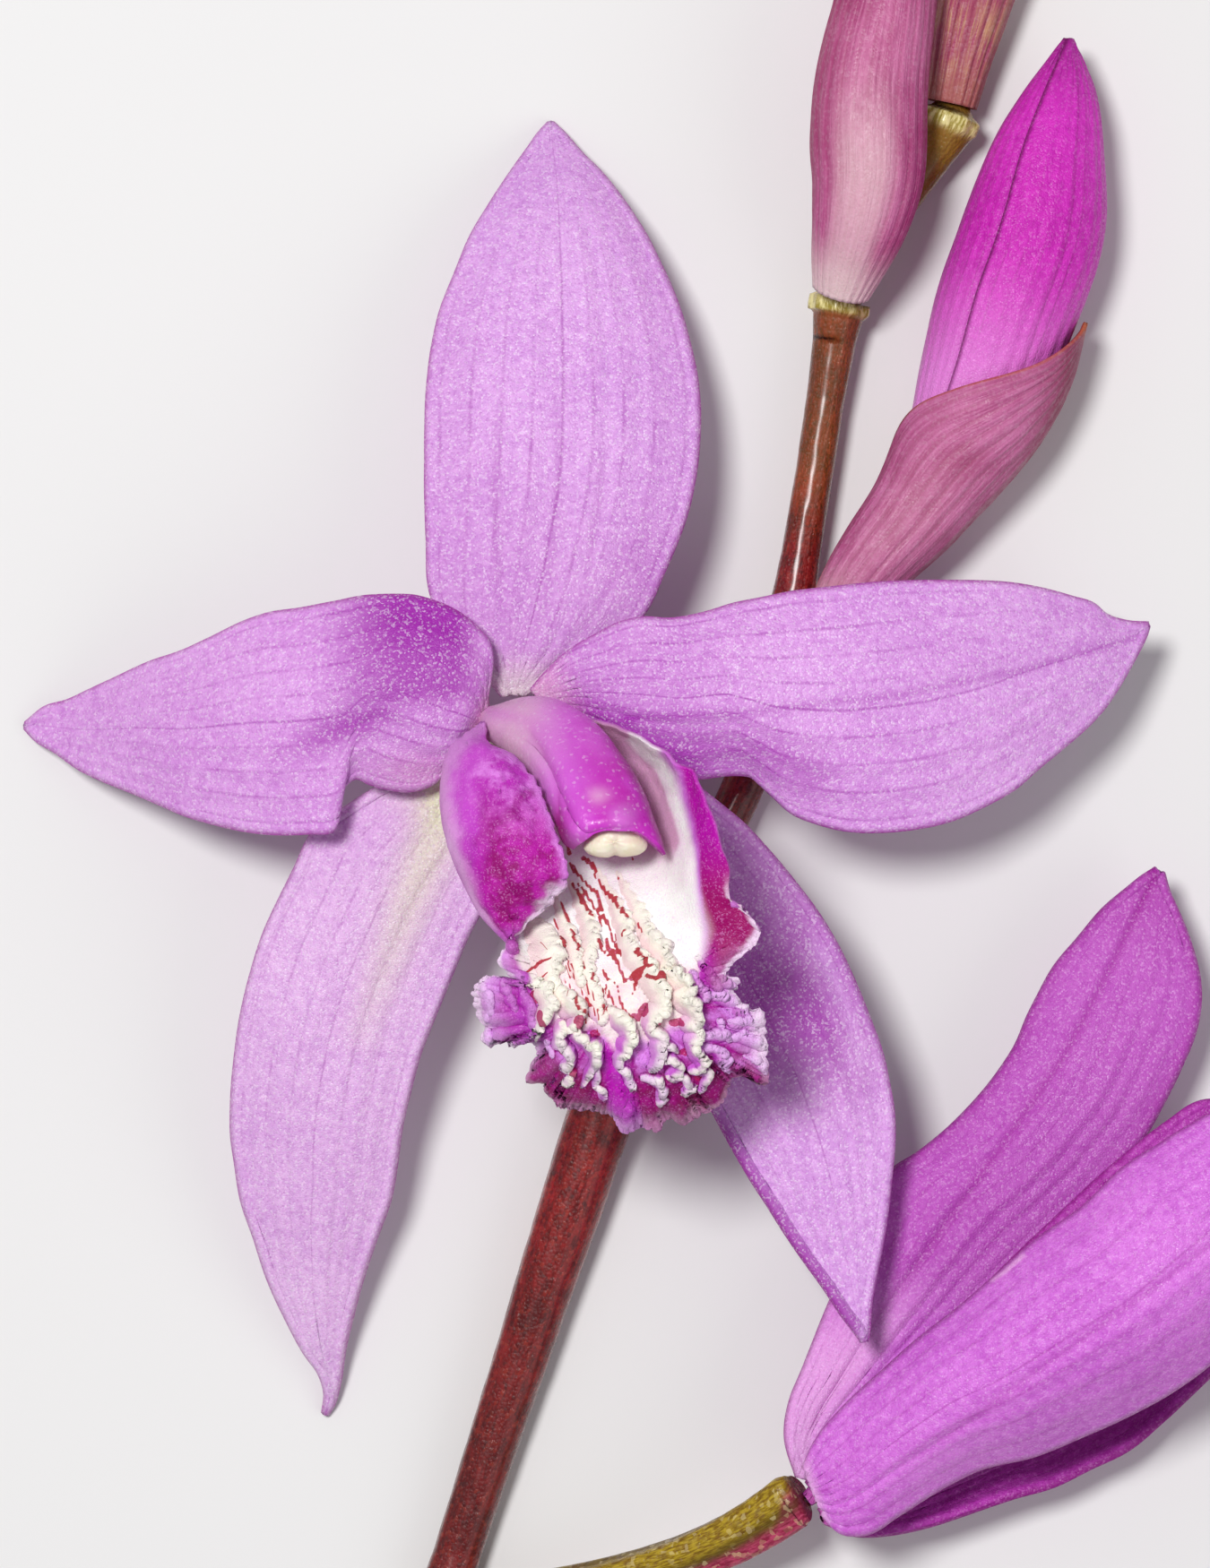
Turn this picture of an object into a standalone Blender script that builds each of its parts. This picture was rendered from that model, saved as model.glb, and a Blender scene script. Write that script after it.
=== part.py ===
"""A cut flowering stem of a bletilla orchid, lying on its back on a table.

The stem carries, from its cut end to its top: a half open flower seen from the
side, the open flower, a large bud in its bract, a bract with a younger bud, and
the top bract with the last bud.  Every outline is laid out on a grid of 22.5
squares to the millimetre, as an eye EYE_H above the table sees it, and heights
above the table are in millimetres.  +X runs to the right, +Y towards the top of
the stem, and the open flower faces up, along +Z.
"""

import math

import bpy
import numpy as np
from mathutils import Vector

# ------------------------------------------------------------ driving dimensions
MM = 0.001
GRID = 22.5                 # layout squares to a millimetre, at FLOWER_H
EYE_U, EYE_V = 675.0, 875.0  # the layout point straight under the eye
EYE_H = 340.0               # mm, height of the eye above the table
FLOWER_H = 9.0              # mm, height at which GRID is true
ORIGIN = (-3.13, 3.72, -0.09)  # mm, brings the box's bottom centre to 0, 0, 0

SEPAL_T = 0.55              # mm, thickness of the open flower's sepals
PETAL_T = 0.50              # mm, and of its petals
LIP_T = 0.45                # mm, of the lip
BUD_T = 0.50                # mm, of the bud's sepals
BRACT_T = 0.35              # mm, of a bract

STALK_R_CUT = 1.22          # mm, radius of the stalk at its cut end
STALK_R_NODE = 1.66         # mm, under the open flower's node
RING_R = 1.52               # mm, radius of the ring that a bract leaves
BUD_R = 3.45                # mm, the large bud at its widest


# ------------------------------------------------------------ helpers
def clear_scene():
    for obj in list(bpy.data.objects):
        bpy.data.objects.remove(obj, do_unlink=True)


def at(u, v, h):
    """Layout point (u, v) at height h, in millimetres before ORIGIN is added."""
    k = (EYE_H - h) / (EYE_H - FLOWER_H) / GRID
    return np.array([(u - EYE_U) * k, -(v - EYE_V) * k, h])


def catmull(points, params):
    """Points on the smooth curve through the given ones, at params from 0 to 1 of its length."""
    p = np.asarray(points, float)
    if p.ndim == 1:
        p = p[:, None]
        knots = np.linspace(0, 1, len(p))
    else:
        step = np.linalg.norm(np.diff(p, axis=0), axis=1)
        knots = np.concatenate([[0], np.cumsum(np.maximum(step, 1e-9))])
        knots = knots / knots[-1]
    slope = np.zeros_like(p)
    d = np.diff(p, axis=0) / np.diff(knots)[:, None]
    slope[1:-1] = (d[1:] * np.diff(knots)[:-1, None] + d[:-1] * np.diff(knots)[1:, None]) / (
        (knots[2:] - knots[:-2])[:, None]
    )
    slope[0], slope[-1] = d[0], d[-1]
    x = np.clip(np.asarray(params, float), 0, 1)
    i = np.clip(np.searchsorted(knots, x, side="right") - 1, 0, len(p) - 2)
    w = knots[i + 1] - knots[i]
    t = ((x - knots[i]) / w)[:, None]
    w = w[:, None]
    return (
        (2 * t**3 - 3 * t**2 + 1) * p[i]
        + (t**3 - 2 * t**2 + t) * w * slope[i]
        + (-2 * t**3 + 3 * t**2) * p[i + 1]
        + (t**3 - t**2) * w * slope[i + 1]
    )


def even(n, crowd=0.0):
    """n parameters from 0 to 1, closer together near both ends with crowd above 0."""
    x = np.linspace(0, 1, n)
    return x - crowd * np.sin(2 * math.pi * x) / (2 * math.pi)


def material(name, colour, roughness, subsurface=0.0):
    mat = bpy.data.materials.get(name) or bpy.data.materials.new(name)
    mat.use_nodes = True
    shader = mat.node_tree.nodes["Principled BSDF"]
    shader.inputs["Base Color"].default_value = (*colour, 1)
    shader.inputs["Roughness"].default_value = roughness
    shader.inputs["Metallic"].default_value = 0.0
    shader.inputs["Subsurface Weight"].default_value = subsurface
    return mat


def finish(obj, mat):
    """Puts an object in the orchid's collection, under the empty that carries it all."""
    for c in list(obj.users_collection):
        c.objects.unlink(obj)
    ORCHID.objects.link(obj)
    obj.data.materials.clear()
    obj.data.materials.append(mat)
    obj.parent = BASE
    return obj


def solidify(obj, thickness):
    """Gives an open surface its thickness, half to each side."""
    mod = obj.modifiers.new("thickness", "SOLIDIFY")
    mod.thickness = thickness * MM
    mod.offset = 0.0
    mod.use_rim = True
    return mod


def surface(name, points, thickness, mat):
    """A sheet through a grid of points, given thickness.  points is rows along the length by columns across, in mm."""
    rows, cols = points.shape[:2]
    bpy.ops.mesh.primitive_grid_add(x_subdivisions=cols - 1, y_subdivisions=rows - 1, size=1)
    obj = bpy.context.active_object
    obj.name = obj.data.name = name
    # the grid's vertices run along x first, then y
    order = sorted(
        range(len(obj.data.vertices)),
        key=lambda i: (round(obj.data.vertices[i].co.y, 5), round(obj.data.vertices[i].co.x, 5)),
    )
    flat = points.reshape(-1, 3) * MM
    for k, i in enumerate(order):
        obj.data.vertices[i].co = flat[k]
    obj.data.shade_smooth()
    solidify(obj, thickness)
    return finish(obj, mat)


def tepal(name, left, right, mid_h, left_h, right_h, thickness, mat, rows=15, cols=7, arch=2.0):
    """A sepal or petal from its two outlines, base to tip.  mid_h is the height along its middle;
    left_h and right_h are how far each margin stands above (or under) the middle."""
    s = even(rows, 0.25)
    l, r = catmull(left, s), catmull(right, s)
    hm, hl, hr = (catmull(x, s)[:, 0] for x in (mid_h, left_h, right_h))
    grid = np.zeros((rows, cols, 3))
    for j, t in enumerate(np.linspace(-1, 1, cols)):
        w = (t + 1) / 2
        uv = l * (1 - w) + r * w
        h = hm + (hl if t < 0 else hr) * abs(t) ** arch
        for i in range(rows):
            grid[i, j] = at(uv[i, 0], uv[i, 1], h[i])
    return surface(name, grid[:, ::-1], thickness, mat)


def frames(axis):
    """Tangent, side and up vectors along a row of points."""
    tan = np.gradient(axis, axis=0)
    tan /= np.linalg.norm(tan, axis=1)[:, None]
    up = np.array([0, 0, 1.0]) - tan * tan[:, 2:3]
    up /= np.linalg.norm(up, axis=1)[:, None]
    return tan, np.cross(tan, up), up


def wrap(name, axis, radius, theta_from, theta_to, thickness, mat, rows=13, cols=9, flat=1.0):
    """A sheet rolled round an axis.  radius, theta_from and theta_to are lists along it.  An angle of 0 faces up
    and 90 faces the right-hand side of someone who looks along the axis; flat under 1 squeezes it from above."""
    s = even(rows, 0.15)
    line = catmull([at(*p) for p in axis], s)
    r, a, b = (catmull(x, s)[:, 0] for x in (radius, theta_from, theta_to))
    _, side, up = frames(line)
    grid = np.zeros((rows, cols, 3))
    for j, w in enumerate(np.linspace(0, 1, cols)):
        th = np.radians(a * (1 - w) + b * w)
        grid[:, j] = line + side * (r * np.sin(th))[:, None] + up * (r * np.cos(th) * flat)[:, None]
    return surface(name, grid, thickness, mat)


def rod(name, points, mat, samples, sides=2):
    """A round stalk through (u, v, h, radius) points, as a bevelled curve with filled caps."""
    pts = np.array([[*at(u, v, h), r] for u, v, h, r in points])
    step = np.linalg.norm(np.diff(pts[:, :3], axis=0), axis=1)
    knots = np.concatenate([[0], np.cumsum(step)]) / step.sum()
    s = np.linspace(0, 1, samples)
    s = np.unique(np.concatenate([s, knots]))
    s = s[np.concatenate([[True], np.diff(s) > 0.25 / samples])]
    line = catmull(pts[:, :3], s)
    rad = np.interp(s, knots, pts[:, 3])
    curve = bpy.data.curves.new(name, "CURVE")
    curve.dimensions = "3D"
    spline = curve.splines.new("POLY")
    spline.points.add(len(line) - 1)
    for p, co, r in zip(spline.points, line, rad):
        p.co = (*(co * MM), 1)
        p.radius = r
    curve.bevel_depth = MM
    curve.bevel_resolution = sides
    curve.use_fill_caps = True
    obj = bpy.data.objects.new(name, curve)
    bpy.context.scene.collection.objects.link(obj)
    return finish(obj, mat)


# ------------------------------------------------------------ scene and materials
clear_scene()
ORCHID = bpy.data.collections.new("bletilla_orchid")
bpy.context.scene.collection.children.link(ORCHID)
BASE = bpy.data.objects.new("stem_frame", None)
BASE.location = Vector(ORIGIN) * MM
ORCHID.objects.link(BASE)

STALK = material("stalk", (0.155, 0.035, 0.022), 0.35, 0.05)
OVARY = material("ovary", (0.30, 0.16, 0.045), 0.35, 0.05)
SEPAL = material("sepal", (0.62, 0.27, 0.66), 0.50, 0.25)
PETAL = material("petal", (0.58, 0.22, 0.64), 0.50, 0.25)
LIP = material("lip", (0.70, 0.30, 0.62), 0.45, 0.25)
COLUMN = material("column", (0.60, 0.16, 0.56), 0.40, 0.25)
ANTHER = material("anther_cap", (0.84, 0.80, 0.60), 0.45, 0.20)
BUD = material("bud", (0.52, 0.05, 0.44), 0.50, 0.15)
BRACT = material("bract", (0.42, 0.12, 0.20), 0.50, 0.10)
PALE_BRACT = material("pale_bract", (0.58, 0.46, 0.34), 0.50, 0.10)

# ------------------------------------------------------------ the stalk (rachis), with the rings at its nodes
RACHIS = [
    (424, 2160, 1.36, STALK_R_CUT), (446, 2050, 1.36, 1.22), (467, 1940, 1.38, 1.20),
    (487, 1830, 1.45, 1.24), (495, 1790, 1.50, 1.42), (501, 1765, 1.52, 1.30), (510, 1735, 1.55, 1.20),
    (534, 1660, 1.62, 1.25), (560, 1580, 1.70, 1.32), (585, 1505, 1.80, 1.40), (609, 1430, 1.90, 1.50),
    (633, 1358, 2.00, 1.60), (655, 1290, 2.10, STALK_R_NODE), (676, 1228, 2.20, 1.68), (697, 1170, 2.25, 1.66),
    (716, 1122, 2.28, 1.72), (722, 1106, 2.30, 1.60), (740, 1062, 2.25, 1.25), (770, 1000, 2.20, 1.12),
    (802, 935, 2.10, 1.08), (836, 860, 2.05, 1.06), (862, 770, 2.05, 1.06), (876, 706, 2.08, 1.12),
    (880, 690, 2.10, 1.42), (884, 672, 2.10, 1.12), (893, 620, 2.12, 0.99), (908, 530, 2.15, 0.95),
    (921, 445, 2.20, 0.97), (931, 380, 2.25, 1.10), (935, 354, 2.28, 1.28), (936, 349, 2.28, RING_R),
    (937, 338, 2.28, RING_R), (939, 333, 2.28, 1.05), (956, 300, 2.20, 0.86), (988, 250, 2.15, 0.82),
    (1020, 206, 2.15, 0.86), (1040, 172, 2.20, 1.10), (1052, 147, 2.28, 1.45), (1055, 140, 2.30, 1.62),
    (1059, 130, 2.30, 1.62), (1061, 124, 2.30, 1.15), (1064, 112, 2.35, 0.70),
]
rod("flower_stalk", RACHIS, STALK, 44, 3)

# ------------------------------------------------------------ the open flower
rod("ovary_open_flower", [
    (716, 1086, 4.55, 0.85), (700, 1052, 4.95, 0.95), (672, 998, 5.25, 1.10), (640, 935, 5.40, 1.25),
    (612, 880, 5.55, 1.35), (590, 835, 6.00, 1.40), (577, 806, 6.65, 1.25), (573, 797, 6.95, 1.10),
], OVARY, 12)

tepal("dorsal_sepal",
      [(560, 776), (540, 752), (508, 715), (481, 667), (475.5, 597), (474, 510), (477, 423), (483, 380),
       (491.5, 345), (507, 306), (524, 265), (546, 228), (567, 196), (587, 168), (602, 147), (611, 139)],
      [(586, 774), (622, 752), (678, 722), (717, 688), (743, 636), (769, 567), (781, 484), (781, 450),
       (777, 415), (769, 380), (756, 337), (739, 298), (719, 259), (697.5, 226), (674, 196), (650, 172),
       (627, 146), (618, 139)],
      [8.45, 8.8, 8.8, 8.3, 7.5, 6.4, 5.0, 3.0, 0.34], [0, -.3, -.5, -.8, -1.0, -1.0, -.8, -.4, 0],
      [0, -.3, -.4, -.6, -.8, -.8, -.7, -.4, 0], SEPAL_T, SEPAL, rows=17)

tepal("left_lateral_sepal",
      [(546, 812), (500, 838), (440, 868), (390, 898), (346, 932), (330, 966), (313, 1000), (293, 1044),
       (281, 1082), (269, 1131), (262, 1179), (258, 1228), (258, 1267), (262, 1296), (269, 1339),
       (284, 1383), (298, 1426), (318, 1470), (339, 1509), (356, 1533), (362, 1553), (361, 1575)],
      [(562, 826), (563, 880), (560, 930), (552, 980), (537, 1017), (523, 1044), (507, 1082), (487, 1131),
       (470, 1174), (458, 1218), (448, 1262), (443, 1300), (436, 1339), (422, 1378), (407, 1422),
       (395, 1465), (385, 1509), (380, 1543), (372, 1570), (367, 1578)],
      [8.45, 8.5, 8.5, 8.2, 7.6, 6.7, 5.5, 4.1, 2.4, 0.34], [0, -.4, -.6, -.8, -.9, -.9, -.8, -.6, -.3, 0],
      [0, -.2, -.3, -.5, -.6, -.7, -.7, -.5, -.3, 0], SEPAL_T, SEPAL, rows=18)

tepal("right_lateral_sepal",
      [(582, 826), (612, 880), (652, 960), (700, 1060), (745, 1150), (775, 1205), (795, 1241), (805, 1260),
       (822, 1291), (840, 1321), (857, 1347), (879, 1382), (900, 1412), (922, 1443), (939, 1469),
       (955, 1489), (961, 1497)],
      [(598, 812), (660, 832), (720, 848), (765, 866), (781, 879), (805, 898), (831, 920), (857, 948),
       (883, 979), (909, 1013), (931, 1048), (952, 1091), (970, 1135), (983, 1170), (991, 1204), (997, 1239),
       (998, 1274), (995, 1308), (991, 1347), (985, 1386), (978, 1421), (972, 1456), (969, 1488), (967, 1497)],
      [8.45, 8.7, 9.0, 9.3, 9.5, 9.6, 9.6, 9.7, 9.9, 10.2], [0, -.4, -.5, -.7, -.8, -.9, -.9, -.8, -.4, 0],
      [0, -.2, -.4, -.6, -.8, -.9, -.8, -.5, -.3, 0], SEPAL_T, SEPAL, rows=18)

tepal("left_petal",
      [(545, 792), (543, 778), (546, 755), (548, 731), (545, 716), (530, 698), (508, 681), (482, 670),
       (464, 665), (438, 663.7), (408, 665), (371, 672), (334, 679), (297, 684.7), (271, 694), (234, 712),
       (201, 727), (168, 738), (131, 755), (99, 770), (75, 781), (51, 788), (31, 806)],
      [(524, 820), (512, 838), (497, 857), (482, 875), (457, 883), (434, 881), (412, 875), (397, 869),
       (384, 877), (377, 890), (376, 908), (371, 928), (345, 931), (316, 932), (279, 929), (242, 921),
       (205, 910), (175, 897), (142, 883), (112, 871), (86, 858), (64, 842), (42, 829), (29, 814)],
      [10.2, 11.3, 11.9, 11.8, 11.2, 10.2, 8.8, 7.0, 4.6, 2.2, 0.32],
      [-.2, -.8, -1.3, -1.6, -1.4, -1.2, -1.0, -.8, -.5, -.2, 0],
      [0, -.9, -1.6, -1.6, -.4, -.7, -.9, -.8, -.5, -.2, 0], PETAL_T, PETAL, rows=18)

tepal("right_petal",
      [(592, 770), (606, 753), (637, 724), (666, 707), (695, 693), (714, 689), (748, 690), (787, 683),
       (816, 674), (850, 667), (879, 661), (928, 655), (976, 650), (1025, 648), (1073, 648), (1122, 650),
       (1160, 656), (1194, 665), (1219, 673), (1233, 685), (1257, 693), (1278, 695)],
      [(612, 790), (650, 806), (695, 832), (740, 858), (780, 869), (797, 867), (821, 865), (838, 867),
       (850, 877), (865, 891), (884, 908), (913, 920), (947, 928), (986, 929), (1025, 925), (1063, 916),
       (1097, 901), (1131, 882), (1160, 857), (1189, 833), (1214, 811), (1233, 790), (1252, 761),
       (1267, 734), (1278, 709), (1280, 702)],
      [10.2, 11.2, 11.6, 11.4, 11.0, 10.4, 9.5, 8.3, 6.8, 5.2],
      [-.2, -.6, -.9, -1.1, -1.1, -1.0, -.9, -.7, -.4, 0],
      [0, -.8, -1.5, -1.7, -1.2, -.9, -1.0, -.9, -.5, 0], PETAL_T, PETAL, rows=18)

# The lip: rows from its claw to its end, columns from the free edge of the left side lobe, which curls over
# the column, through the trough, to the free edge of the right side lobe.
LIP_NET = [
    [(541, 806, 12.6), (534, 811, 12.0), (533, 822, 10.9), (548, 832, 10.0), (575, 836, 9.6), (602, 828, 10.0), (622, 814, 10.9), (634, 806, 11.9), (640, 803, 12.5)],
    [(546, 832, 15.8), (522, 826, 15.6), (503, 840, 13.7), (522, 868, 12.0), (590, 874, 11.8), (650, 856, 12.4), (682, 834, 13.8), (692, 819, 15.4), (688, 811, 16.2)],
    [(579, 848, 18.6), (535, 842, 18.8), (495, 872, 16.4), (520, 905, 13.8), (605, 907, 13.9), (680, 888, 14.7), (720, 864, 16.3), (737, 846, 18.2), (731, 830, 19.1)],
    [(604, 889, 20.7), (550, 885, 21.0), (496, 912, 18.6), (532, 945, 15.7), (622, 942, 15.9), (705, 926, 16.7), (747, 902, 18.5), (769, 880, 20.4), (768, 860, 21.1)],
    [(624, 940, 21.9), (565, 935, 22.2), (507, 952, 20.0), (545, 985, 17.5), (638, 977, 17.5), (725, 966, 18.3), (767, 945, 20.3), (788, 922, 21.6), (795, 906, 22.1)],
    [(635, 978, 22.0), (578, 978, 22.5), (521, 984, 21.0), (556, 1012, 18.9), (650, 1014, 18.9), (735, 1010, 19.5), (777, 995, 21.1), (802, 976, 21.9), (812, 965, 22.2)],
    [(618, 1006, 21.4), (572, 1012, 21.9), (539, 1020, 21.0), (575, 1042, 19.7), (660, 1047, 19.7), (742, 1046, 20.3), (787, 1036, 21.3), (818, 1022, 21.8), (842, 1036, 21.8)],
    [(562, 1060, 20.8), (570, 1063, 20.9), (580, 1069, 20.7), (607, 1077, 20.3), (668, 1082, 20.5), (745, 1081, 20.7), (783, 1079, 21.0), (803, 1076, 21.2), (822, 1072, 21.2)],
    [(542, 1094, 20.2), (561, 1100, 20.8), (582, 1105, 20.7), (615, 1111, 20.7), (675, 1116, 20.9), (745, 1116, 20.9), (781, 1113, 20.9), (806, 1108, 20.9), (824, 1101, 20.6)],
    [(535, 1130, 19.2), (562, 1136, 20.2), (590, 1141, 20.5), (625, 1147, 20.7), (681, 1152, 20.8), (747, 1151, 20.7), (791, 1149, 20.4), (822, 1145, 20.2), (850, 1141, 19.8)],
    [(560, 1165, 18.5), (588, 1168, 19.3), (612, 1173, 19.9), (642, 1181, 20.2), (686, 1189, 20.3), (741, 1189, 20.2), (787, 1190, 19.8), (822, 1191, 19.4), (855, 1192, 19.0)],
    [(592, 1203, 18.0), (612, 1207, 18.5), (632, 1212, 18.9), (657, 1219, 19.2), (691, 1226, 19.1), (735, 1223, 19.1), (765, 1220, 18.9), (790, 1216, 18.6), (813, 1212, 18.2)],
    [(636, 1235, 17.5), (652, 1239, 17.5), (668, 1243, 17.5), (681, 1249, 17.4), (699, 1259, 17.1), (719, 1260, 17.2), (739, 1257, 17.3), (757, 1250, 17.4), (782, 1246, 17.4)],
]


def net(rows_of, n_rows, n_cols):
    """A smooth grid of points through a net of control points, in mm."""
    ctrl = np.array([[at(*p) for p in row] for row in rows_of])
    first = np.array([catmull(ctrl[:, j], np.linspace(0, 1, n_rows)) for j in range(ctrl.shape[1])])
    return np.array([catmull(first[:, i], np.linspace(0, 1, n_cols)) for i in range(n_rows)])


surface("lip", net(LIP_NET, 25, 17)[:, ::-1], LIP_T, LIP)

rod("column", [
    (574, 795, 10.1, 0.95), (581, 800, 11.9, 1.18), (598, 810, 14.2, 1.40), (622, 830, 16.6, 1.75),
    (646, 860, 18.5, 2.05), (664, 893, 19.7, 2.15), (673, 912, 20.1, 2.00),
], COLUMN, 11, 3)

bpy.ops.mesh.primitive_uv_sphere_add(segments=14, ring_count=8, radius=1.0 * MM,
                                     location=Vector(at(687, 944, 20.7)) * MM, scale=(1.75, 0.78, 1.0))
anther = bpy.context.active_object
anther.name = anther.data.name = "anther_cap"
anther.data.shade_smooth()
finish(anther, ANTHER)

# ------------------------------------------------------------ the half open side flower
rod("ovary_side_flower", [
    (531, 1786, 2.45, 0.85), (565, 1781, 2.70, 0.92), (620, 1772, 3.15, 1.00), (690, 1758, 3.75, 1.08),
    (760, 1738, 4.55, 1.18), (820, 1712, 5.35, 1.28), (868, 1684, 6.05, 1.34), (884, 1673, 6.30, 1.34), (889, 1670, 6.40, 1.05),
], OVARY, 12)

tepal("side_flower_dorsal_sepal",
      [(889, 1647), (876, 1603), (882, 1562), (896, 1527), (916, 1476), (935, 1430), (962, 1365), (995, 1305),
       (1023, 1287), (1054, 1272), (1080, 1241), (1105, 1210), (1131, 1175), (1146, 1144), (1161, 1113),
       (1176, 1078), (1202, 1047), (1228, 1014), (1253, 991), (1279, 974), (1289, 969)],
      [(900, 1652), (935, 1602), (980, 1560), (1034, 1510), (1089, 1460), (1145, 1408), (1207, 1348),
       (1228, 1328), (1253, 1297), (1279, 1266), (1299, 1231), (1319, 1190), (1332, 1159), (1340, 1119),
       (1338, 1088), (1330, 1057), (1314, 1016), (1304, 994), (1299, 978)],
      [6.9, 6.8, 6.5, 6.3, 6.1, 5.8, 5.3, 4.6, 4.0], [0, -.6, -1.0, -1.2, -1.2, -1.0, -.8, -.5, 0],
      [0, -.3, -.3, -.4, -.5, -.6, -.6, -.4, 0], SEPAL_T, SEPAL, rows=15)

tepal("side_flower_near_sepal",
      [(897, 1636), (912, 1606), (945, 1567), (983, 1532), (1023, 1496), (1069, 1460), (1115, 1420), (1156, 1384),
       (1207, 1348), (1258, 1300), (1294, 1277), (1324, 1258), (1352, 1243), (1388, 1236), (1424, 1240),
       (1455, 1262), (1472, 1284)],
      [(921, 1692), (940, 1711), (965, 1712), (1003, 1690), (1048, 1662), (1092, 1640), (1156, 1624), (1207, 1603),
       (1258, 1580), (1309, 1552), (1350, 1522), (1390, 1482), (1425, 1432), (1452, 1374), (1470, 1322), (1477, 1294)],
      [8.8, 10.8, 12.4, 13.4, 13.9, 13.8, 13.0, 11.4], [0, -1.6, -2.4, -2.8, -2.8, -2.4, -1.4, 0],
      [0, -2.6, -4.0, -4.6, -4.6, -3.8, -2.2, 0], SEPAL_T, SEPAL, rows=16, cols=9)

tepal("side_flower_far_sepal",
      [(913, 1685), (958, 1652), (1018, 1612), (1090, 1572), (1160, 1532), (1230, 1492), (1300, 1452),
       (1370, 1430), (1430, 1432), (1462, 1442)],
      [(922, 1700), (950, 1713), (1000, 1712), (1040, 1703), (1085, 1688), (1131, 1672), (1176, 1659),
       (1217, 1639), (1258, 1619), (1299, 1585), (1350, 1537), (1390, 1502), (1430, 1472), (1464, 1450)],
      [5.6, 4.3, 3.2, 2.3, 1.7, 1.4, 1.5, 2.0], [0, .3, .5, .6, .6, .5, .3, 0],
      [0, .8, 1.6, 2.2, 2.4, 2.0, 1.0, 0], SEPAL_T, SEPAL, rows=14)

tepal("side_flower_near_petal",
      [(899, 1655), (950, 1588), (1018, 1515), (1096, 1437), (1178, 1357), (1250, 1292), (1303, 1250),
       (1338, 1228), (1362, 1226)],
      [(905, 1662), (962, 1612), (1036, 1545), (1116, 1472), (1196, 1402), (1272, 1334), (1328, 1282),
       (1358, 1252), (1368, 1234)],
      [7.9, 8.2, 8.5, 8.7, 8.8, 8.7, 8.4, 8.0], [0, -.1, -.2, -.3, -.3, -.2, -.1, 0],
      [0, -.1, -.2, -.3, -.3, -.2, -.1, 0], PETAL_T, PETAL, rows=12, cols=5)

tepal("side_flower_far_petal",
      [(897, 1668), (948, 1596), (1012, 1518), (1090, 1440), (1170, 1370), (1250, 1312), (1318, 1280), (1356, 1272)],
      [(905, 1680), (968, 1640), (1044, 1592), (1130, 1532), (1212, 1470), (1292, 1402), (1345, 1336), (1366, 1292)],
      [5.9, 5.0, 4.4, 4.0, 3.8, 3.6, 3.4, 3.3], [0, -.1, -.2, -.3, -.3, -.2, -.1, 0],
      [0, -.1, -.1, -.1, -.1, -.1, -.1, 0], PETAL_T, PETAL, rows=12, cols=5)

SIDE_AXIS = [(925, 1672, 7.3), (985, 1634, 7.2), (1060, 1590, 7.1), (1140, 1545, 7.1), (1220, 1500, 7.2), (1300, 1452, 7.4)]
wrap("side_flower_lip", SIDE_AXIS, [1.0, 1.5, 2.0, 2.3, 2.5, 2.4], [10, 0, -5, -10, -5, 20],
     [230, 240, 245, 250, 240, 210], LIP_T, LIP, rows=12, cols=11)
rod("side_flower_column", [(930, 1669, 7.3, 0.50), (985, 1634, 7.2, 0.65), (1060, 1590, 7.1, 0.80), (1130, 1551, 7.1, 0.95)],
    COLUMN, 7)

# ------------------------------------------------------------ the large bud and its bract
BUD_AXIS = [(1030, 556, 4.05), (1062, 497, 4.0), (1093, 430, 4.0), (1121, 345, 4.0), (1150, 263, 4.0),
            (1169, 171, 3.95), (1180, 122, 3.9), (1187, 82, 3.85), (1192, 44, 3.8)]
BUD_WIDTH = [1.35, 2.25, 3.00, 3.33, BUD_R, 3.35, 2.75, 1.75, 0.50]
bud_gap = [7.0, 5.0, 4.0, 3.6, 3.6, 3.8, 5.0, 8.0, 24.0]


def bud_sepal(name, first, last, axis, width, mat, rows=15, cols=7, flat=1.0):
    gap = np.interp(np.linspace(0, 1, 9), np.linspace(0, 1, len(bud_gap)), bud_gap)
    return wrap(name, axis, width, list(first + gap), list(last - gap), BUD_T, mat, rows, cols, flat)


bud_sepal("large_bud_front_sepal", -26, 100, BUD_AXIS, BUD_WIDTH, BUD)
bud_sepal("large_bud_back_sepal", 100, 214, BUD_AXIS, BUD_WIDTH, BUD)
bud_sepal("large_bud_left_sepal", 214, 334, BUD_AXIS, BUD_WIDTH, BUD)
rod("large_bud_ovary", [(926, 683, 4.30, 0.62), (944, 659, 4.2, 0.75), (972, 624, 4.1, 0.90), (1004, 584, 4.0, 0.95),
                        (1017, 566, 4.0, 0.90)], OVARY, 7)
wrap("large_bud_bract",
     [(926, 692, 4.40), (950, 658, 4.25), (985, 613, 4.1), (1024, 566, 4.05), (1058, 511, 4.05), (1089, 452, 4.1),
      (1112, 395, 4.1), (1126, 340, 4.1)],
     [1.25, 1.80, 2.15, 2.55, 3.18, 3.72, 3.95, 3.97], [-82, -84, -84, -84, -66, -22, 30, 84],
     [262, 262, 262, 260, 240, 200, 150, 96], BRACT_T, BRACT, rows=14, cols=15)

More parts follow.
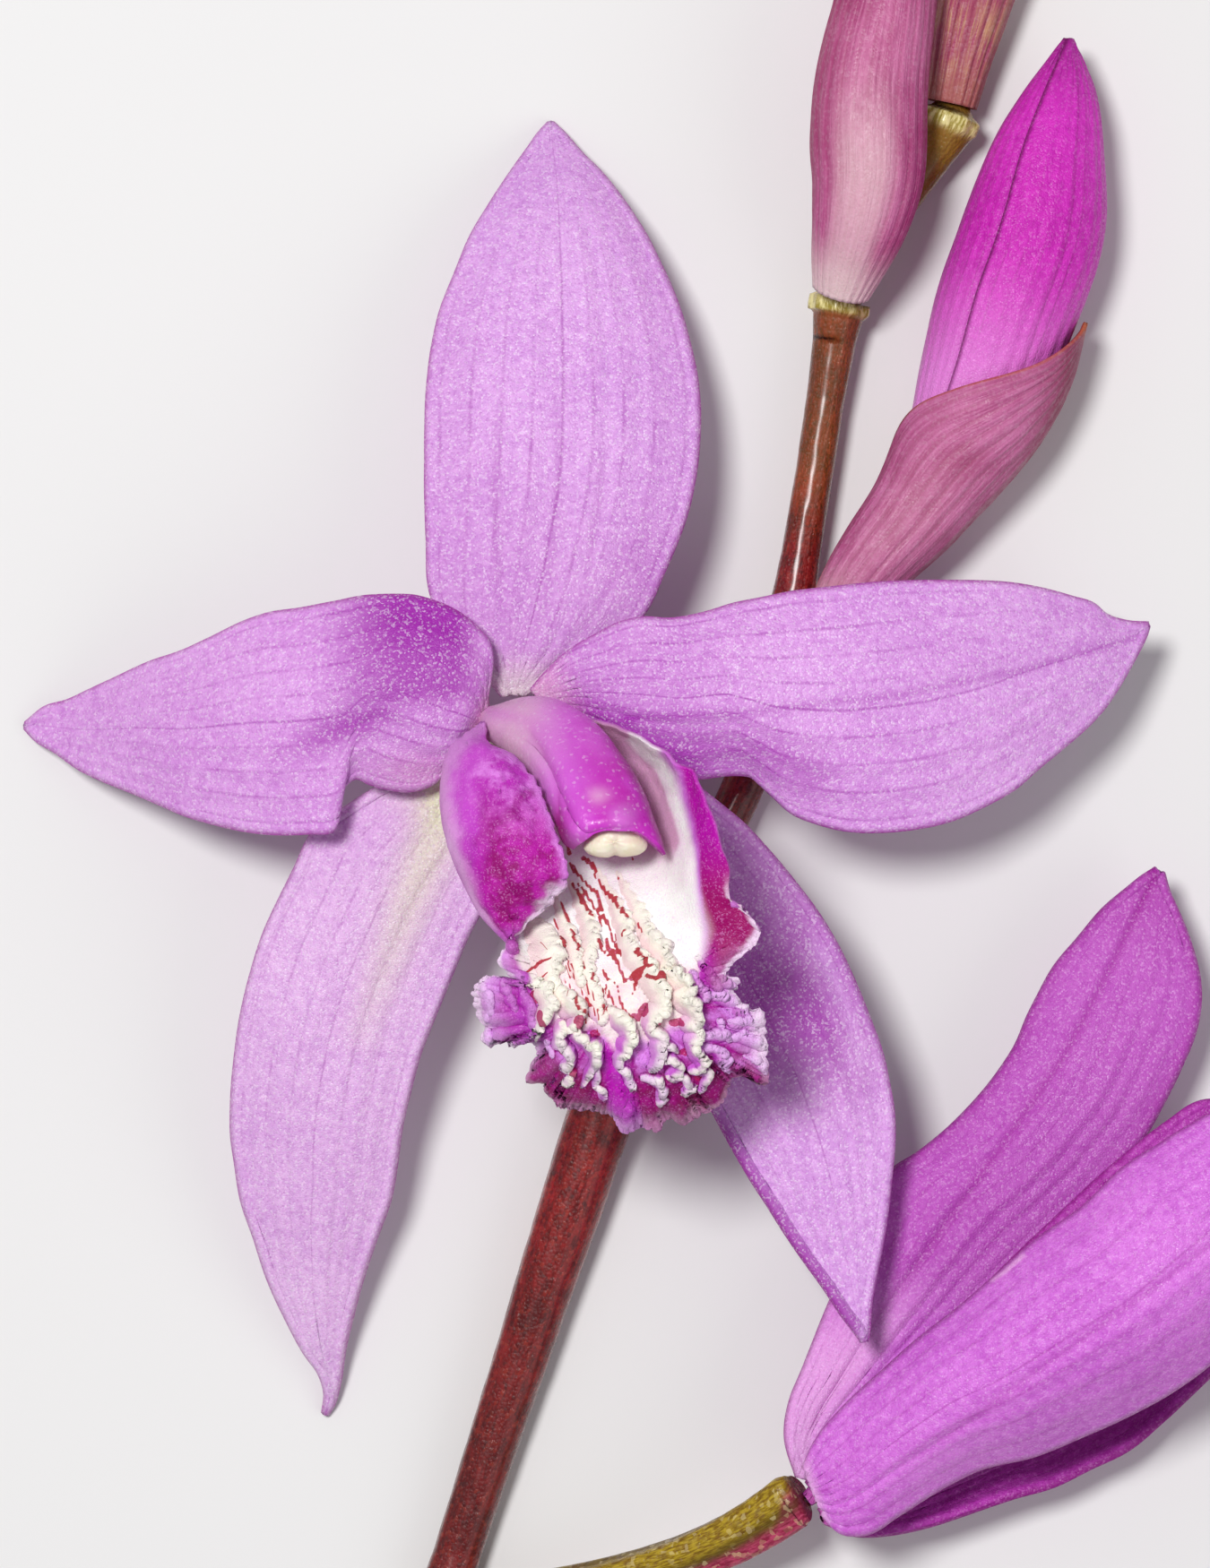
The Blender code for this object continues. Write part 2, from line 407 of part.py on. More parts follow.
# ------------------------------------------------------------ the upper bract and its young bud
UPPER_AXIS = [(938, 326, 4.35), (946, 296, 4.9), (960, 245, 5.7), (968, 199, 6.0), (969, 153, 6.0), (971, 107, 6.0),
              (977, 61, 6.0), (985, 18, 6.0), (995, -40, 5.9), (1004, -100, 5.7), (1010, -168, 5.5)]
wrap("upper_bract", UPPER_AXIS, [1.30, 1.95, 2.45, 2.75, 2.78, 2.68, 2.52, 2.35, 2.12, 1.60, 0.30],
     [-128, -132, -138, -140, -140, -138, -132, -120, -100, -80, -70],
     [128, 132, 136, 136, 134, 130, 124, 112, 95, 80, 70], BRACT_T, BRACT, rows=15, cols=13)
rod("upper_bud", [(946, 300, 4.75, 0.55), (956, 262, 5.3, 1.0), (966, 205, 5.85, 1.75), (970, 140, 5.95, 2.10),
                  (975, 75, 5.95, 2.00), (986, 0, 5.95, 1.60), (998, -68, 5.8, 0.95), (1004, -108, 5.7, 0.30)],
    BUD, 14, 3)

# ------------------------------------------------------------ the top bract and the last bud
TOP_AXIS = [(1060, 116, 2.55), (1064, 98, 2.6), (1070, 70, 2.65), (1077, 40, 2.7), (1087, 0, 2.75), (1103, -60, 2.8),
            (1121, -130, 2.8), (1138, -200, 2.7), (1150, -252, 2.5)]
wrap("top_bract", TOP_AXIS, [1.25, 1.45, 1.70, 1.92, 2.20, 2.38, 2.10, 1.30, 0.22],
     [-150, -150, -150, -148, -142, -130, -105, -85, -70], [150, 150, 150, 148, 142, 130, 105, 85, 70],
     BRACT_T, PALE_BRACT, rows=14, cols=13)
rod("top_bud", [(1067, 88, 2.62, 0.45), (1074, 55, 2.68, 0.95), (1086, 5, 2.75, 1.45), (1103, -60, 2.8, 1.62),
                (1121, -130, 2.8, 1.30), (1136, -190, 2.7, 0.75), (1146, -228, 2.6, 0.25)], BUD, 11, 3)
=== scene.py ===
"""Looks for the cut flowering stem of a bletilla orchid that lies on a table."""

import math

import bpy
import numpy as np
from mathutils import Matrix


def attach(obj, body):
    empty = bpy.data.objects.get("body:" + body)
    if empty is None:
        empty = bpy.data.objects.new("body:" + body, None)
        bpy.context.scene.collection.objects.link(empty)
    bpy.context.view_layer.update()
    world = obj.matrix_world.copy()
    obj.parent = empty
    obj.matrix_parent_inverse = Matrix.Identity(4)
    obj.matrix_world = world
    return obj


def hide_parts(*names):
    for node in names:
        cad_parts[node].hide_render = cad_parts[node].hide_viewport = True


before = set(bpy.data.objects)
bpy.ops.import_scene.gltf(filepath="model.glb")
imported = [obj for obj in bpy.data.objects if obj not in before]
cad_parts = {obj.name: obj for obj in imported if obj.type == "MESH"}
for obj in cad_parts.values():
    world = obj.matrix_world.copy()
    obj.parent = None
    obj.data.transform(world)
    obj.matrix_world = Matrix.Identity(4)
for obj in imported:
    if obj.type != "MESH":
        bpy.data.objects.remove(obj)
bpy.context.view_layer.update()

MM = 0.001
GRID, EYE_U, EYE_V, EYE_H, FLOWER_H = 22.5, 675.0, 875.0, 340.0, 9.0
ORIGIN = np.array([-3.13, 3.72, -0.09])


# ------------------------------------------------------------ geometry helpers
def place(uvh):
    """Layout points (..., 3) of u, v and height to millimetres in the model's frame."""
    uvh = np.asarray(uvh, float)
    k = (EYE_H - uvh[..., 2]) / (EYE_H - FLOWER_H) / GRID
    out = np.stack([(uvh[..., 0] - EYE_U) * k, -(uvh[..., 1] - EYE_V) * k, uvh[..., 2]], -1)
    return out + ORIGIN


def smooth(x, a, b):
    t = np.clip((x - a) / (b - a), 0, 1)
    return t * t * (3 - 2 * t)


def catmull(points, params, knots=None):
    p = np.asarray(points, float)
    if p.ndim == 1:
        p = p[:, None]
        if knots is None:
            knots = np.linspace(0, 1, len(p))
    elif knots is None:
        step = np.linalg.norm(np.diff(p, axis=0), axis=1)
        knots = np.concatenate([[0], np.cumsum(np.maximum(step, 1e-9))])
        knots = knots / knots[-1]
    knots = np.asarray(knots, float)
    slope = np.zeros_like(p)
    d = np.diff(p, axis=0) / np.diff(knots)[:, None]
    slope[1:-1] = (d[1:] * np.diff(knots)[:-1, None] + d[:-1] * np.diff(knots)[1:, None]) / (
        (knots[2:] - knots[:-2])[:, None]
    )
    slope[0], slope[-1] = d[0], d[-1]
    x = np.clip(np.asarray(params, float), knots[0], knots[-1])
    i = np.clip(np.searchsorted(knots, x, side="right") - 1, 0, len(p) - 2)
    w = knots[i + 1] - knots[i]
    t = ((x - knots[i]) / w)[:, None]
    w = w[:, None]
    return (
        (2 * t**3 - 3 * t**2 + 1) * p[i]
        + (t**3 - 2 * t**2 + t) * w * slope[i]
        + (-2 * t**3 + 3 * t**2) * p[i + 1]
        + (t**3 - t**2) * w * slope[i + 1]
    )


def even(n, crowd=0.0):
    x = np.linspace(0, 1, n)
    return x - crowd * np.sin(2 * math.pi * x) / (2 * math.pi)


def hash2(i, j, seed):
    x = np.sin(i * 127.1 + j * 311.7 + seed * 74.7) * 43758.5453
    return x - np.floor(x)


def noise2(x, y, seed=0):
    """Smooth repeatable noise from 0 to 1."""
    x, y = np.asarray(x, float), np.asarray(y, float)
    i, j = np.floor(x), np.floor(y)
    fx, fy = x - i, y - j
    fx, fy = fx * fx * (3 - 2 * fx), fy * fy * (3 - 2 * fy)
    a, b = hash2(i, j, seed), hash2(i + 1, j, seed)
    c, d = hash2(i, j + 1, seed), hash2(i + 1, j + 1, seed)
    return (a * (1 - fx) + b * fx) * (1 - fy) + (c * (1 - fx) + d * fx) * fy


def fractal(x, y, seed=0, octaves=3):
    out, amp, total = 0, 1.0, 0
    for o in range(octaves):
        out = out + amp * noise2(x * 2**o, y * 2**o, seed + o * 13)
        total += amp
        amp *= 0.5
    return out / total


def to_line(u, v, line):
    """Distance from points to a polyline, the share of its length at the nearest point, and the side."""
    line = np.asarray(line, float)
    seg = np.diff(line, axis=0)
    length = np.linalg.norm(seg, axis=1)
    start = np.concatenate([[0], np.cumsum(length)])
    best = np.full(u.shape, 1e9)
    where = np.zeros(u.shape)
    side = np.zeros(u.shape)
    for k in range(len(seg)):
        du, dv = u - line[k, 0], v - line[k, 1]
        t = np.clip((du * seg[k, 0] + dv * seg[k, 1]) / length[k] ** 2, 0, 1)
        d = np.hypot(du - t * seg[k, 0], dv - t * seg[k, 1])
        near = d < best
        best = np.where(near, d, best)
        where = np.where(near, start[k] + t * length[k], where)
        side = np.where(near, np.sign(seg[k, 0] * dv - seg[k, 1] * du), side)
    return best, where / start[-1], side


def normals(P):
    n = np.cross(np.gradient(P, axis=1), np.gradient(P, axis=0))
    size = np.linalg.norm(n, axis=-1, keepdims=True)
    return n / np.maximum(size, 1e-9)


def add_mesh(name, co, faces, attrs, mat, nodes):
    me = bpy.data.meshes.new(name)
    me.from_pydata((co * MM).tolist(), [], faces)
    me.update()
    for key, val in attrs.items():
        a = me.attributes.new(key, "FLOAT", "POINT")
        a.data.foreach_set("value", np.asarray(val, np.float32))
    me.shade_smooth()
    obj = bpy.data.objects.new(name, me)
    bpy.context.scene.collection.objects.link(obj)
    me.materials.append(mat)
    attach(obj, "root")
    if nodes:
        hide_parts(*nodes)
    return obj


def shell(name, P, th, attrs, mat, nodes, outward=None, coarse_back=False):
    """A closed leaf through the grid P: front and back half a thickness off it, joined by a rim."""
    R, C = P.shape[:2]
    n = normals(P)
    ref = np.array([0, 0, 1.0]) if outward is None else outward
    sign = 1.0 if (n * ref).sum() > 0 else -1.0
    n = n * sign
    th = np.broadcast_to(th, (R, C))[..., None]
    front, back = P + n * th / 2, P - n * th / 2
    step = 2 if coarse_back else 1
    back = back[::step, ::step]
    r, c = back.shape[:2]
    fi = np.arange(R * C).reshape(R, C)
    bi = R * C + np.arange(r * c).reshape(r, c)

    def quads(ix, flip):
        q = np.stack([ix[:-1, :-1], ix[:-1, 1:], ix[1:, 1:], ix[1:, :-1]], -1).reshape(-1, 4)
        return (q[:, ::-1] if flip else q).tolist()

    faces = quads(fi, sign < 0) + quads(bi, sign > 0)
    ring_f = np.concatenate([fi[0, :], fi[1:, -1], fi[-1, -2::-1], fi[-2:0:-1, 0]])
    ring_b = np.concatenate([bi[0, :], bi[1:, -1], bi[-1, -2::-1], bi[-2:0:-1, 0]])
    m = len(ring_b)
    for k in range(m):
        a = [int(ring_f[(k * step + q) % len(ring_f)]) for q in range(step + 1)]
        face = a[::-1] + [int(ring_b[k]), int(ring_b[(k + 1) % m])]
        faces.append(face if sign > 0 else face[::-1])
    co = np.concatenate([front.reshape(-1, 3), back.reshape(-1, 3)])
    out = {}
    for key, val in attrs.items():
        val = np.broadcast_to(val, (R, C))
        out[key] = np.concatenate([val.ravel(), val[::step, ::step].ravel()])
    out["face"] = np.concatenate([np.ones(R * C), np.zeros(r * c)])
    return add_mesh(name, co, faces, out, mat, nodes)


def tube(name, line, radius, segs, attrs, mat, nodes, up=(0, 0, 1.0)):
    """A closed round body.  radius is rows by segs, in mm."""
    tan = np.gradient(line, axis=0)
    tan /= np.linalg.norm(tan, axis=1)[:, None]
    upv = np.array(up) - tan * (tan @ np.array(up))[:, None]
    upv /= np.linalg.norm(upv, axis=1)[:, None]
    side = np.cross(tan, upv)
    R = len(line)
    ang = np.linspace(0, 2 * math.pi, segs, endpoint=False)
    P = line[:, None] + radius[..., None] * (
        side[:, None] * np.sin(ang)[None, :, None] + upv[:, None] * np.cos(ang)[None, :, None]
    )
    ix = np.arange(R * segs).reshape(R, segs)
    nx = np.roll(ix, -1, axis=1)
    q = np.stack([ix[:-1], ix[1:], nx[1:], nx[:-1]], -1).reshape(-1, 4)
    faces = q.tolist()
    co = np.concatenate([P.reshape(-1, 3), line[:1], line[-1:]])
    for k in range(segs):
        faces.append([R * segs, int(ix[0, k]), int(nx[0, k])])
        faces.append([R * segs + 1, int(nx[-1, k]), int(ix[-1, k])])
    out = {}
    for key, val in attrs.items():
        val = np.broadcast_to(val, (R, segs))
        out[key] = np.concatenate([val.ravel(), val[0, :1], val[-1, :1]])
    # faces point out when the sides turn with the angle
    mid = P[R // 2]
    nrm = np.cross(P[R // 2 + 1, 0] - mid[0], mid[1] - mid[0])
    if nrm @ (mid[0] - line[R // 2]) < 0:
        faces = [f[::-1] for f in faces]
    return add_mesh(name, co, faces, out, mat, nodes)


# ------------------------------------------------------------ material helpers
def srgb(r, g, b):
    def one(x):
        x /= 255
        return x / 12.92 if x <= 0.04045 else ((x + 0.055) / 1.055) ** 2.4

    return (one(r), one(g), one(b), 1.0)


class Mat:
    def __init__(self, name, rough=0.5, sss=0.0, spec=0.5, coat=0.0, coat_rough=0.3, sheen=0.0):
        self.m = bpy.data.materials.new(name)
        self.m.use_nodes = True
        self.t = self.m.node_tree
        self.b = self.t.nodes["Principled BSDF"]
        self.b.inputs["Roughness"].default_value = rough
        self.b.inputs["Subsurface Weight"].default_value = sss
        self.b.inputs["Subsurface Radius"].default_value = (1.0, 0.45, 0.8)
        self.b.inputs["Subsurface Scale"].default_value = 0.0006
        self.b.inputs["Specular IOR Level"].default_value = spec
        self.b.inputs["Coat Weight"].default_value = coat
        self.b.inputs["Coat Roughness"].default_value = coat_rough
        self.b.inputs["Sheen Weight"].default_value = sheen
        self.tc = self.t.nodes.new("ShaderNodeTexCoord")
        self.cache = {}

    def put(self, sock, val):
        if isinstance(val, bpy.types.NodeSocket):
            self.t.links.new(val, sock)
        elif isinstance(val, (tuple, list)) and len(val) == 4 and sock.type == "VECTOR":
            sock.default_value = val[:3]
        else:
            sock.default_value = val

    @property
    def pos(self):
        return self.tc.outputs["Object"]

    def attr(self, key):
        if key not in self.cache:
            n = self.t.nodes.new("ShaderNodeAttribute")
            n.attribute_name = key
            self.cache[key] = n.outputs["Fac"]
        return self.cache[key]

    def op(self, kind, a, b=0.0, c=None, clamp=False):
        n = self.t.nodes.new("ShaderNodeMath")
        n.operation = kind
        n.use_clamp = clamp
        self.put(n.inputs[0], a)
        if len(n.inputs) > 1:
            self.put(n.inputs[1], b)
        if c is not None:
            self.put(n.inputs[2], c)
        return n.outputs[0]

    def mul(self, *xs):
        out = xs[0]
        for x in xs[1:]:
            out = self.op("MULTIPLY", out, x)
        return out

    def step(self, x, a, b, lo=0.0, hi=1.0):
        n = self.t.nodes.new("ShaderNodeMapRange")
        n.interpolation_type = "SMOOTHSTEP"
        self.put(n.inputs["Value"], x)
        n.inputs["From Min"].default_value, n.inputs["From Max"].default_value = a, b
        n.inputs["To Min"].default_value, n.inputs["To Max"].default_value = lo, hi
        return n.outputs["Result"]

    def mix(self, f, a, b, kind="MIX"):
        n = self.t.nodes.new("ShaderNodeMix")
        n.data_type = "RGBA"
        n.blend_type = kind
        n.clamp_factor = True
        self.put(n.inputs["Factor"], f)
        self.put(n.inputs[6], a)
        self.put(n.inputs[7], b)
        return n.outputs[2]

    def vec(self, x, y, z=0.0):
        n = self.t.nodes.new("ShaderNodeCombineXYZ")
        for k, val in enumerate((x, y, z)):
            self.put(n.inputs[k], val)
        return n.outputs[0]

    def noise(self, scale, detail=2.0, rough=0.5, vec=None, distort=0.0):
        n = self.t.nodes.new("ShaderNodeTexNoise")
        self.put(n.inputs["Vector"], self.pos if vec is None else vec)
        n.inputs["Scale"].default_value = scale
        n.inputs["Detail"].default_value = detail
        n.inputs["Roughness"].default_value = rough
        n.inputs["Distortion"].default_value = distort
        return n.outputs["Fac"]

    def cells(self, scale, vec=None):
        n = self.t.nodes.new("ShaderNodeTexVoronoi")
        self.put(n.inputs["Vector"], self.pos if vec is None else vec)
        n.inputs["Scale"].default_value = scale
        sep = self.t.nodes.new("ShaderNodeSeparateColor")
        self.t.links.new(n.outputs["Color"], sep.inputs[0])
        return n.outputs["Distance"], sep.outputs[0], sep.outputs[1]

    def bump(self, height, strength, dist, normal=None):
        n = self.t.nodes.new("ShaderNodeBump")
        self.put(n.inputs["Height"], height)
        n.inputs["Strength"].default_value = strength
        n.inputs["Distance"].default_value = dist
        if normal is not None:
            self.put(n.inputs["Normal"], normal)
        return n.outputs[0]

    def done(self, colour, normal=None, rough=None):
        self.put(self.b.inputs["Base Color"], colour)
        if normal is not None:
            self.put(self.b.inputs["Normal"], normal)
        if rough is not None:
            self.put(self.b.inputs["Roughness"], rough)
        return self.m


def petal_material(name, light, mid, dark, base, rim, veins=5.0, vein_power=0.5, base_end=0.16, back=None,
                   sparkle=0.75, base_side=0.0, rough=0.46, glint=(1.0, 0.92, 1.0, 1.0)):
    """Lilac tissue of round cells with painted glints, long veins, a pale foot and a darker rim."""
    m = Mat(name, rough=rough, sss=0.14, spec=0.32, sheen=0.03)
    s, t, edge = m.attr("s"), m.attr("t"), m.attr("edge")
    wide = m.noise(130.0, 2.0, 0.5)
    fine = m.noise(2100.0, 3.0, 0.6)
    col = m.mix(m.step(m.op("ADD", m.mul(wide, 0.40), m.mul(fine, 0.60)), 0.30, 0.66), mid, light)
    # long veins, stronger near the foot
    wob = m.mul(m.op("SUBTRACT", m.noise(160.0, 2.0), 0.5), 0.10)
    lane = m.op("ADD", m.mul(t, veins), wob)
    tri = m.op("PINGPONG", lane, 0.5)
    vein = m.op("SUBTRACT", 1.0, m.step(tri, 0.0, 0.10), clamp=True)
    broken = m.step(m.noise(420.0, 2.0), 0.40, 0.62)
    vein = m.mul(vein, m.step(s, 0.95, 0.35, 0.15, 1.0), m.op("ADD", m.mul(broken, 0.6), 0.4), vein_power)
    col = m.mix(vein, col, dark)
    middle = m.op("SUBTRACT", 1.0, m.step(m.op("ABSOLUTE", m.op("ADD", t, m.mul(wob, 0.25))), 0.0, 0.022), clamp=True)
    col = m.mix(m.mul(middle, 0.45 * min(1.0, vein_power * 1.6)), col, dark)
    shade = m.attr("shade")
    col = m.mix(shade, col, dark)
    pale = m.attr("pale")
    col = m.mix(pale, col, base)
    foot = m.step(s, base_end, 0.0)
    col = m.mix(m.mul(foot, 0.9), col, base)
    margin = m.step(m.op("ADD", edge, m.mul(m.op("SUBTRACT", fine, 0.5), 0.12)), 0.30, 0.04)
    col = m.mix(m.mul(margin, 0.75), col, rim)
    # painted glints: random cells pushed toward a pale glint colour stand in for cells catching the light
    dist, rnd, rnd2 = m.cells(10500.0)
    painted_light = m.step(rnd, 0.66, 1.0)
    col = m.mix(m.mul(painted_light, 0.44 * sparkle), col, glint)
    dim = m.step(rnd2, 0.55, 0.0)
    col = m.mix(m.mul(dim, 0.30 * sparkle), col, dark)
    if back is not None:
        col = m.mix(m.mul(m.op("SUBTRACT", 1.0, m.attr("face")), 0.55), col, back)
    height = m.op("SUBTRACT", 1.0, dist)
    nrm = m.bump(height, 0.55, 0.00006)
    nrm = m.bump(m.op("SUBTRACT", fine, m.mul(vein, 0.8)), 0.25, 0.00012, nrm)
    rgh = m.step(rnd, 0.0, 1.0, rough + 0.14, rough - 0.14)
    return m.done(col, nrm, rgh)


LILAC_L, LILAC_M = srgb(230, 176, 236), srgb(210, 146, 220)
LILAC_D, RIM = srgb(158, 40, 164), srgb(168, 20, 156)
FOOT = srgb(232, 206, 216)

SEPAL = petal_material("sepal_tissue", LILAC_L, LILAC_M, LILAC_D, FOOT, RIM, veins=4.5, vein_power=0.42,
                       base_end=0.13, back=srgb(204, 112, 206))
SEPAL_LEFT = petal_material("left_sepal_tissue", srgb(234, 190, 236), srgb(216, 162, 222), LILAC_D,
                            srgb(226, 226, 190), RIM, veins=3.5, vein_power=0.30, base_end=0.10,
                            back=srgb(196, 110, 200))
PETAL = petal_material("petal_tissue", srgb(230, 172, 236), srgb(210, 138, 218), srgb(160, 34, 168), srgb(226, 160, 206),
                       RIM, veins=4.5, vein_power=0.50, base_end=0.10, back=srgb(190, 90, 190))
SIDE = petal_material("side_flower_tissue", srgb(226, 128, 230), srgb(202, 92, 208), srgb(158, 16, 150),
                      srgb(238, 172, 232), srgb(150, 10, 136), veins=4.0, vein_power=0.30, base_end=0.03, sparkle=0.5,
                      glint=(1.0, 0.62, 1.0, 1.0))
SIDE_DEEP = petal_material("side_flower_deep_tissue", srgb(196, 70, 190), srgb(158, 26, 150), srgb(110, 0, 100),
                           srgb(200, 90, 180), srgb(140, 0, 126), veins=4.0, vein_power=0.5, base_end=0.06, sparkle=0.35,
                           glint=(1.0, 0.45, 0.95, 1.0))
BUD = petal_material("bud_tissue", srgb(216, 44, 192), srgb(192, 18, 170), srgb(120, 0, 94), srgb(236, 148, 226),
                     srgb(120, 0, 100), veins=5.0, vein_power=0.35, base_end=0.12, sparkle=0.30,
                     glint=(1.0, 0.45, 0.95, 1.0))


def bract_material(name, light, mid, line, foot, tip, tip_from, lanes=9.0, line_power=0.7):
    m = Mat(name, rough=0.50, sss=0.10, spec=0.4)
    s, t, edge = m.attr("s"), m.attr("t"), m.attr("edge")
    wide = m.noise(260.0, 3.0, 0.6)
    fine = m.noise(1700.0, 3.0, 0.6)
    long_grain = m.noise(1.0, 3.0, 0.6, m.vec(m.mul(t, 46.0), m.mul(s, 7.0)))
    col = m.mix(m.step(m.op("ADD", m.mul(wide, 0.5), m.mul(long_grain, 0.5)), 0.38, 0.62), mid, light)
    wob = m.mul(m.op("SUBTRACT", m.noise(120.0, 2.0), 0.5), 0.35)
    tri = m.op("PINGPONG", m.op("ADD", m.mul(t, lanes), wob), 0.5)
    vein = m.mul(m.op("SUBTRACT", 1.0, m.step(tri, 0.0, 0.22), clamp=True), m.step(long_grain, 0.30, 0.60), line_power)
    col = m.mix(vein, col, line)
    col = m.mix(m.mul(m.attr("shade"), 0.75), col, line)
    col = m.mix(m.mul(m.attr("pale"), 0.75), col, foot)
    col = m.mix(m.mul(m.step(s, 0.16, 0.0), 0.85), col, foot)
    col = m.mix(m.step(s, tip_from, 1.0), col, tip)
    col = m.mix(m.mul(m.step(edge, 0.22, 0.03), 0.5), col, tip)
    dist, rnd, rnd2 = m.cells(8000.0)
    col = m.mix(m.mul(m.step(rnd, 0.60, 1.0), 0.07), col, (1.0, 0.86, 0.94, 1.0))
    col = m.mix(m.mul(m.step(rnd2, 0.35, 0.0), 0.10), col, line)
    nrm = m.bump(m.op("SUBTRACT", 1.0, dist), 0.35, 0.00005)
    nrm = m.bump(m.op("SUBTRACT", long_grain, vein), 0.45, 0.00018, nrm)
    return m.done(col, nrm, m.step(fine, 0.3, 0.7, 0.36, 0.60))


BRACT = bract_material("bract_tissue", srgb(206, 116, 166), srgb(174, 76, 128), srgb(130, 18, 62),
                       srgb(198, 146, 158), srgb(190, 90, 34), 0.93, line_power=0.34)
BRACT_UP = bract_material("upper_bract_tissue", srgb(204, 112, 160), srgb(174, 72, 126), srgb(144, 18, 84),
                          srgb(236, 208, 208), srgb(150, 40, 80), 0.97, line_power=0.40)
BRACT_TOP = bract_material("top_bract_tissue", srgb(200, 152, 112), srgb(166, 60, 100), srgb(144, 12, 80),
                           srgb(168, 96, 88), srgb(170, 60, 100), 0.97, lanes=6.0, line_power=0.9)


def stalk_material():
    """Reddish brown, wet-looking skin with dark specks and pale cells painted as glints, and olive rings at the nodes
    partly lightened to cream as painted highlight.
    """
    m = Mat("stalk_skin", rough=0.36, sss=0.0, spec=0.18, coat=0.60, coat_rough=0.23)
    ring, up = m.attr("ring"), m.attr("olive")
    wide = m.noise(330.0, 4.0, 0.6)
    grain = m.noise(1.0, 4.0, 0.65, m.vec(m.mul(m.attr("a"), 9.0), m.mul(m.attr("run"), 1.1)))
    col = m.mix(m.step(m.op("ADD", m.mul(wide, 0.5), m.mul(grain, 0.5)), 0.36, 0.64),
                srgb(84, 4, 6), srgb(152, 32, 32))
    col = m.mix(m.mul(m.step(m.attr("s"), 0.37, 0.26), 0.45), col, srgb(66, 2, 6))
    dist, rnd, rnd2 = m.cells(5200.0)
    # pale cells painted as glints
    col = m.mix(m.mul(m.step(rnd, 0.66, 1.0), 0.18), col, srgb(196, 84, 62))
    col = m.mix(m.mul(m.step(rnd2, 0.40, 0.0), 0.50), col, srgb(60, 10, 12))
    col = m.mix(m.mul(up, m.step(wide, 0.2, 0.7, 0.5, 1.0)), col, srgb(150, 122, 40))
    # rings at the nodes run from olive to cream, the cream partly painted highlight
    col = m.mix(ring, col, m.mix(m.step(grain, 0.4, 0.6), srgb(164, 148, 56), srgb(240, 230, 160)))
    nrm = m.bump(m.op("SUBTRACT", 1.0, dist), 0.50, 0.00009)
    nrm = m.bump(grain, 0.45, 0.00022, nrm)
    return m.done(col, nrm, m.step(rnd, 0.0, 1.0, 0.42, 0.18))


STALK = stalk_material()


def ovary_material():
    m = Mat("ovary_skin", rough=0.36, sss=0.0, spec=0.22, coat=0.08, coat_rough=0.2)
    red, groove = m.attr("red"), m.attr("groove")
    wide = m.noise(300.0, 3.0, 0.6)
    grain = m.noise(1.0, 3.0, 0.6, m.vec(m.mul(m.attr("a"), 14.0), m.mul(m.attr("run"), 1.6)))
    green = m.mix(m.step(grain, 0.35, 0.65), srgb(120, 90, 14), srgb(180, 152, 40))
    crimson = m.mix(m.step(grain, 0.35, 0.65), srgb(140, 26, 62), srgb(188, 70, 104))
    col = m.mix(m.step(m.op("ADD", red, m.mul(m.op("SUBTRACT", wide, 0.5), 0.5)), 0.35, 0.65), green, crimson)
    col = m.mix(m.mul(groove, 0.75), col, srgb(84, 62, 14))
    dist, rnd, rnd2 = m.cells(4200.0)
    col = m.mix(m.mul(m.step(rnd, 0.75, 1.0), 0.35), col, srgb(232, 214, 160))
    col = m.mix(m.mul(m.step(rnd2, 0.35, 0.0), 0.25), col, srgb(96, 12, 40))
    nrm = m.bump(m.op("SUBTRACT", 1.0, dist), 0.4, 0.00006)
    nrm = m.bump(grain, 0.35, 0.00014, nrm)
    return m.done(col, nrm, m.step(rnd, 0.0, 1.0, 0.45, 0.22))


OVARY = ovary_material()


# ------------------------------------------------------------ the leaves (sepals and petals)
def leaf(name, left, right, mid_h, left_h, right_h, mat, node, rows=150, cols=61, thick=0.42, arch=2.0,
         extra=None, relief=0.05, curl=0.10, ruffle=0.02):
    s = even(rows, 0.25)
    l, r = catmull(left, s), catmull(right, s)
    hm, hl, hr = (catmull(x, s)[:, 0] for x in (mid_h, left_h, right_h))
    t = np.sin(np.linspace(-1, 1, cols) * math.pi / 2 * 0.86) / math.sin(math.pi / 2 * 0.86)
    S, T = np.meshgrid(s, t, indexing="ij")
    w = (T + 1) / 2
    uv = l[:, None] * (1 - w[..., None]) + r[:, None] * w[..., None]
    h = hm[:, None] + np.where(T < 0, hl[:, None], hr[:, None]) * np.abs(T) ** arch
    half = np.linalg.norm(r - l, axis=1)[:, None] / 2 / GRID
    edge = (1 - np.abs(T)) * half
    seed = sum(ord(c) for c in name) % 97
    h = h - 0.13 * np.exp(-((T / 0.05) ** 2)) * smooth(S, 0, 0.12) * smooth(1 - S, 0.02, 0.2)
    h = h + relief * np.cos(T * 9 * math.pi) * (1 - T**2) * smooth(1 - S, 0.0, 0.3)
    h = h + 0.22 * (fractal(S * 5, T * 2.2, seed) - 0.5)
    h = h + curl * np.exp(-((edge - 0.30) / 0.14) ** 2) - curl * 1.2 * np.exp(-((edge / 0.14) ** 2))
    h = h + ruffle * np.sin(S * 90 + 3 * T) * np.exp(-edge / 0.35)
    data = {"s": S, "t": T, "edge": edge, "shade": 0 * S, "pale": 0 * S}
    th = thick * (0.45 + 0.55 * np.clip(edge / 0.35, 0, 1) ** 0.5) * (1.0 + 0.25 * smooth(0.3 - S, 0, 0.3))
    if extra:
        uv, h, data = extra(S, T, uv, h, data)
    P = place(np.concatenate([uv, h[..., None]], -1))
    return shell(name, P, th, data, mat, [node])


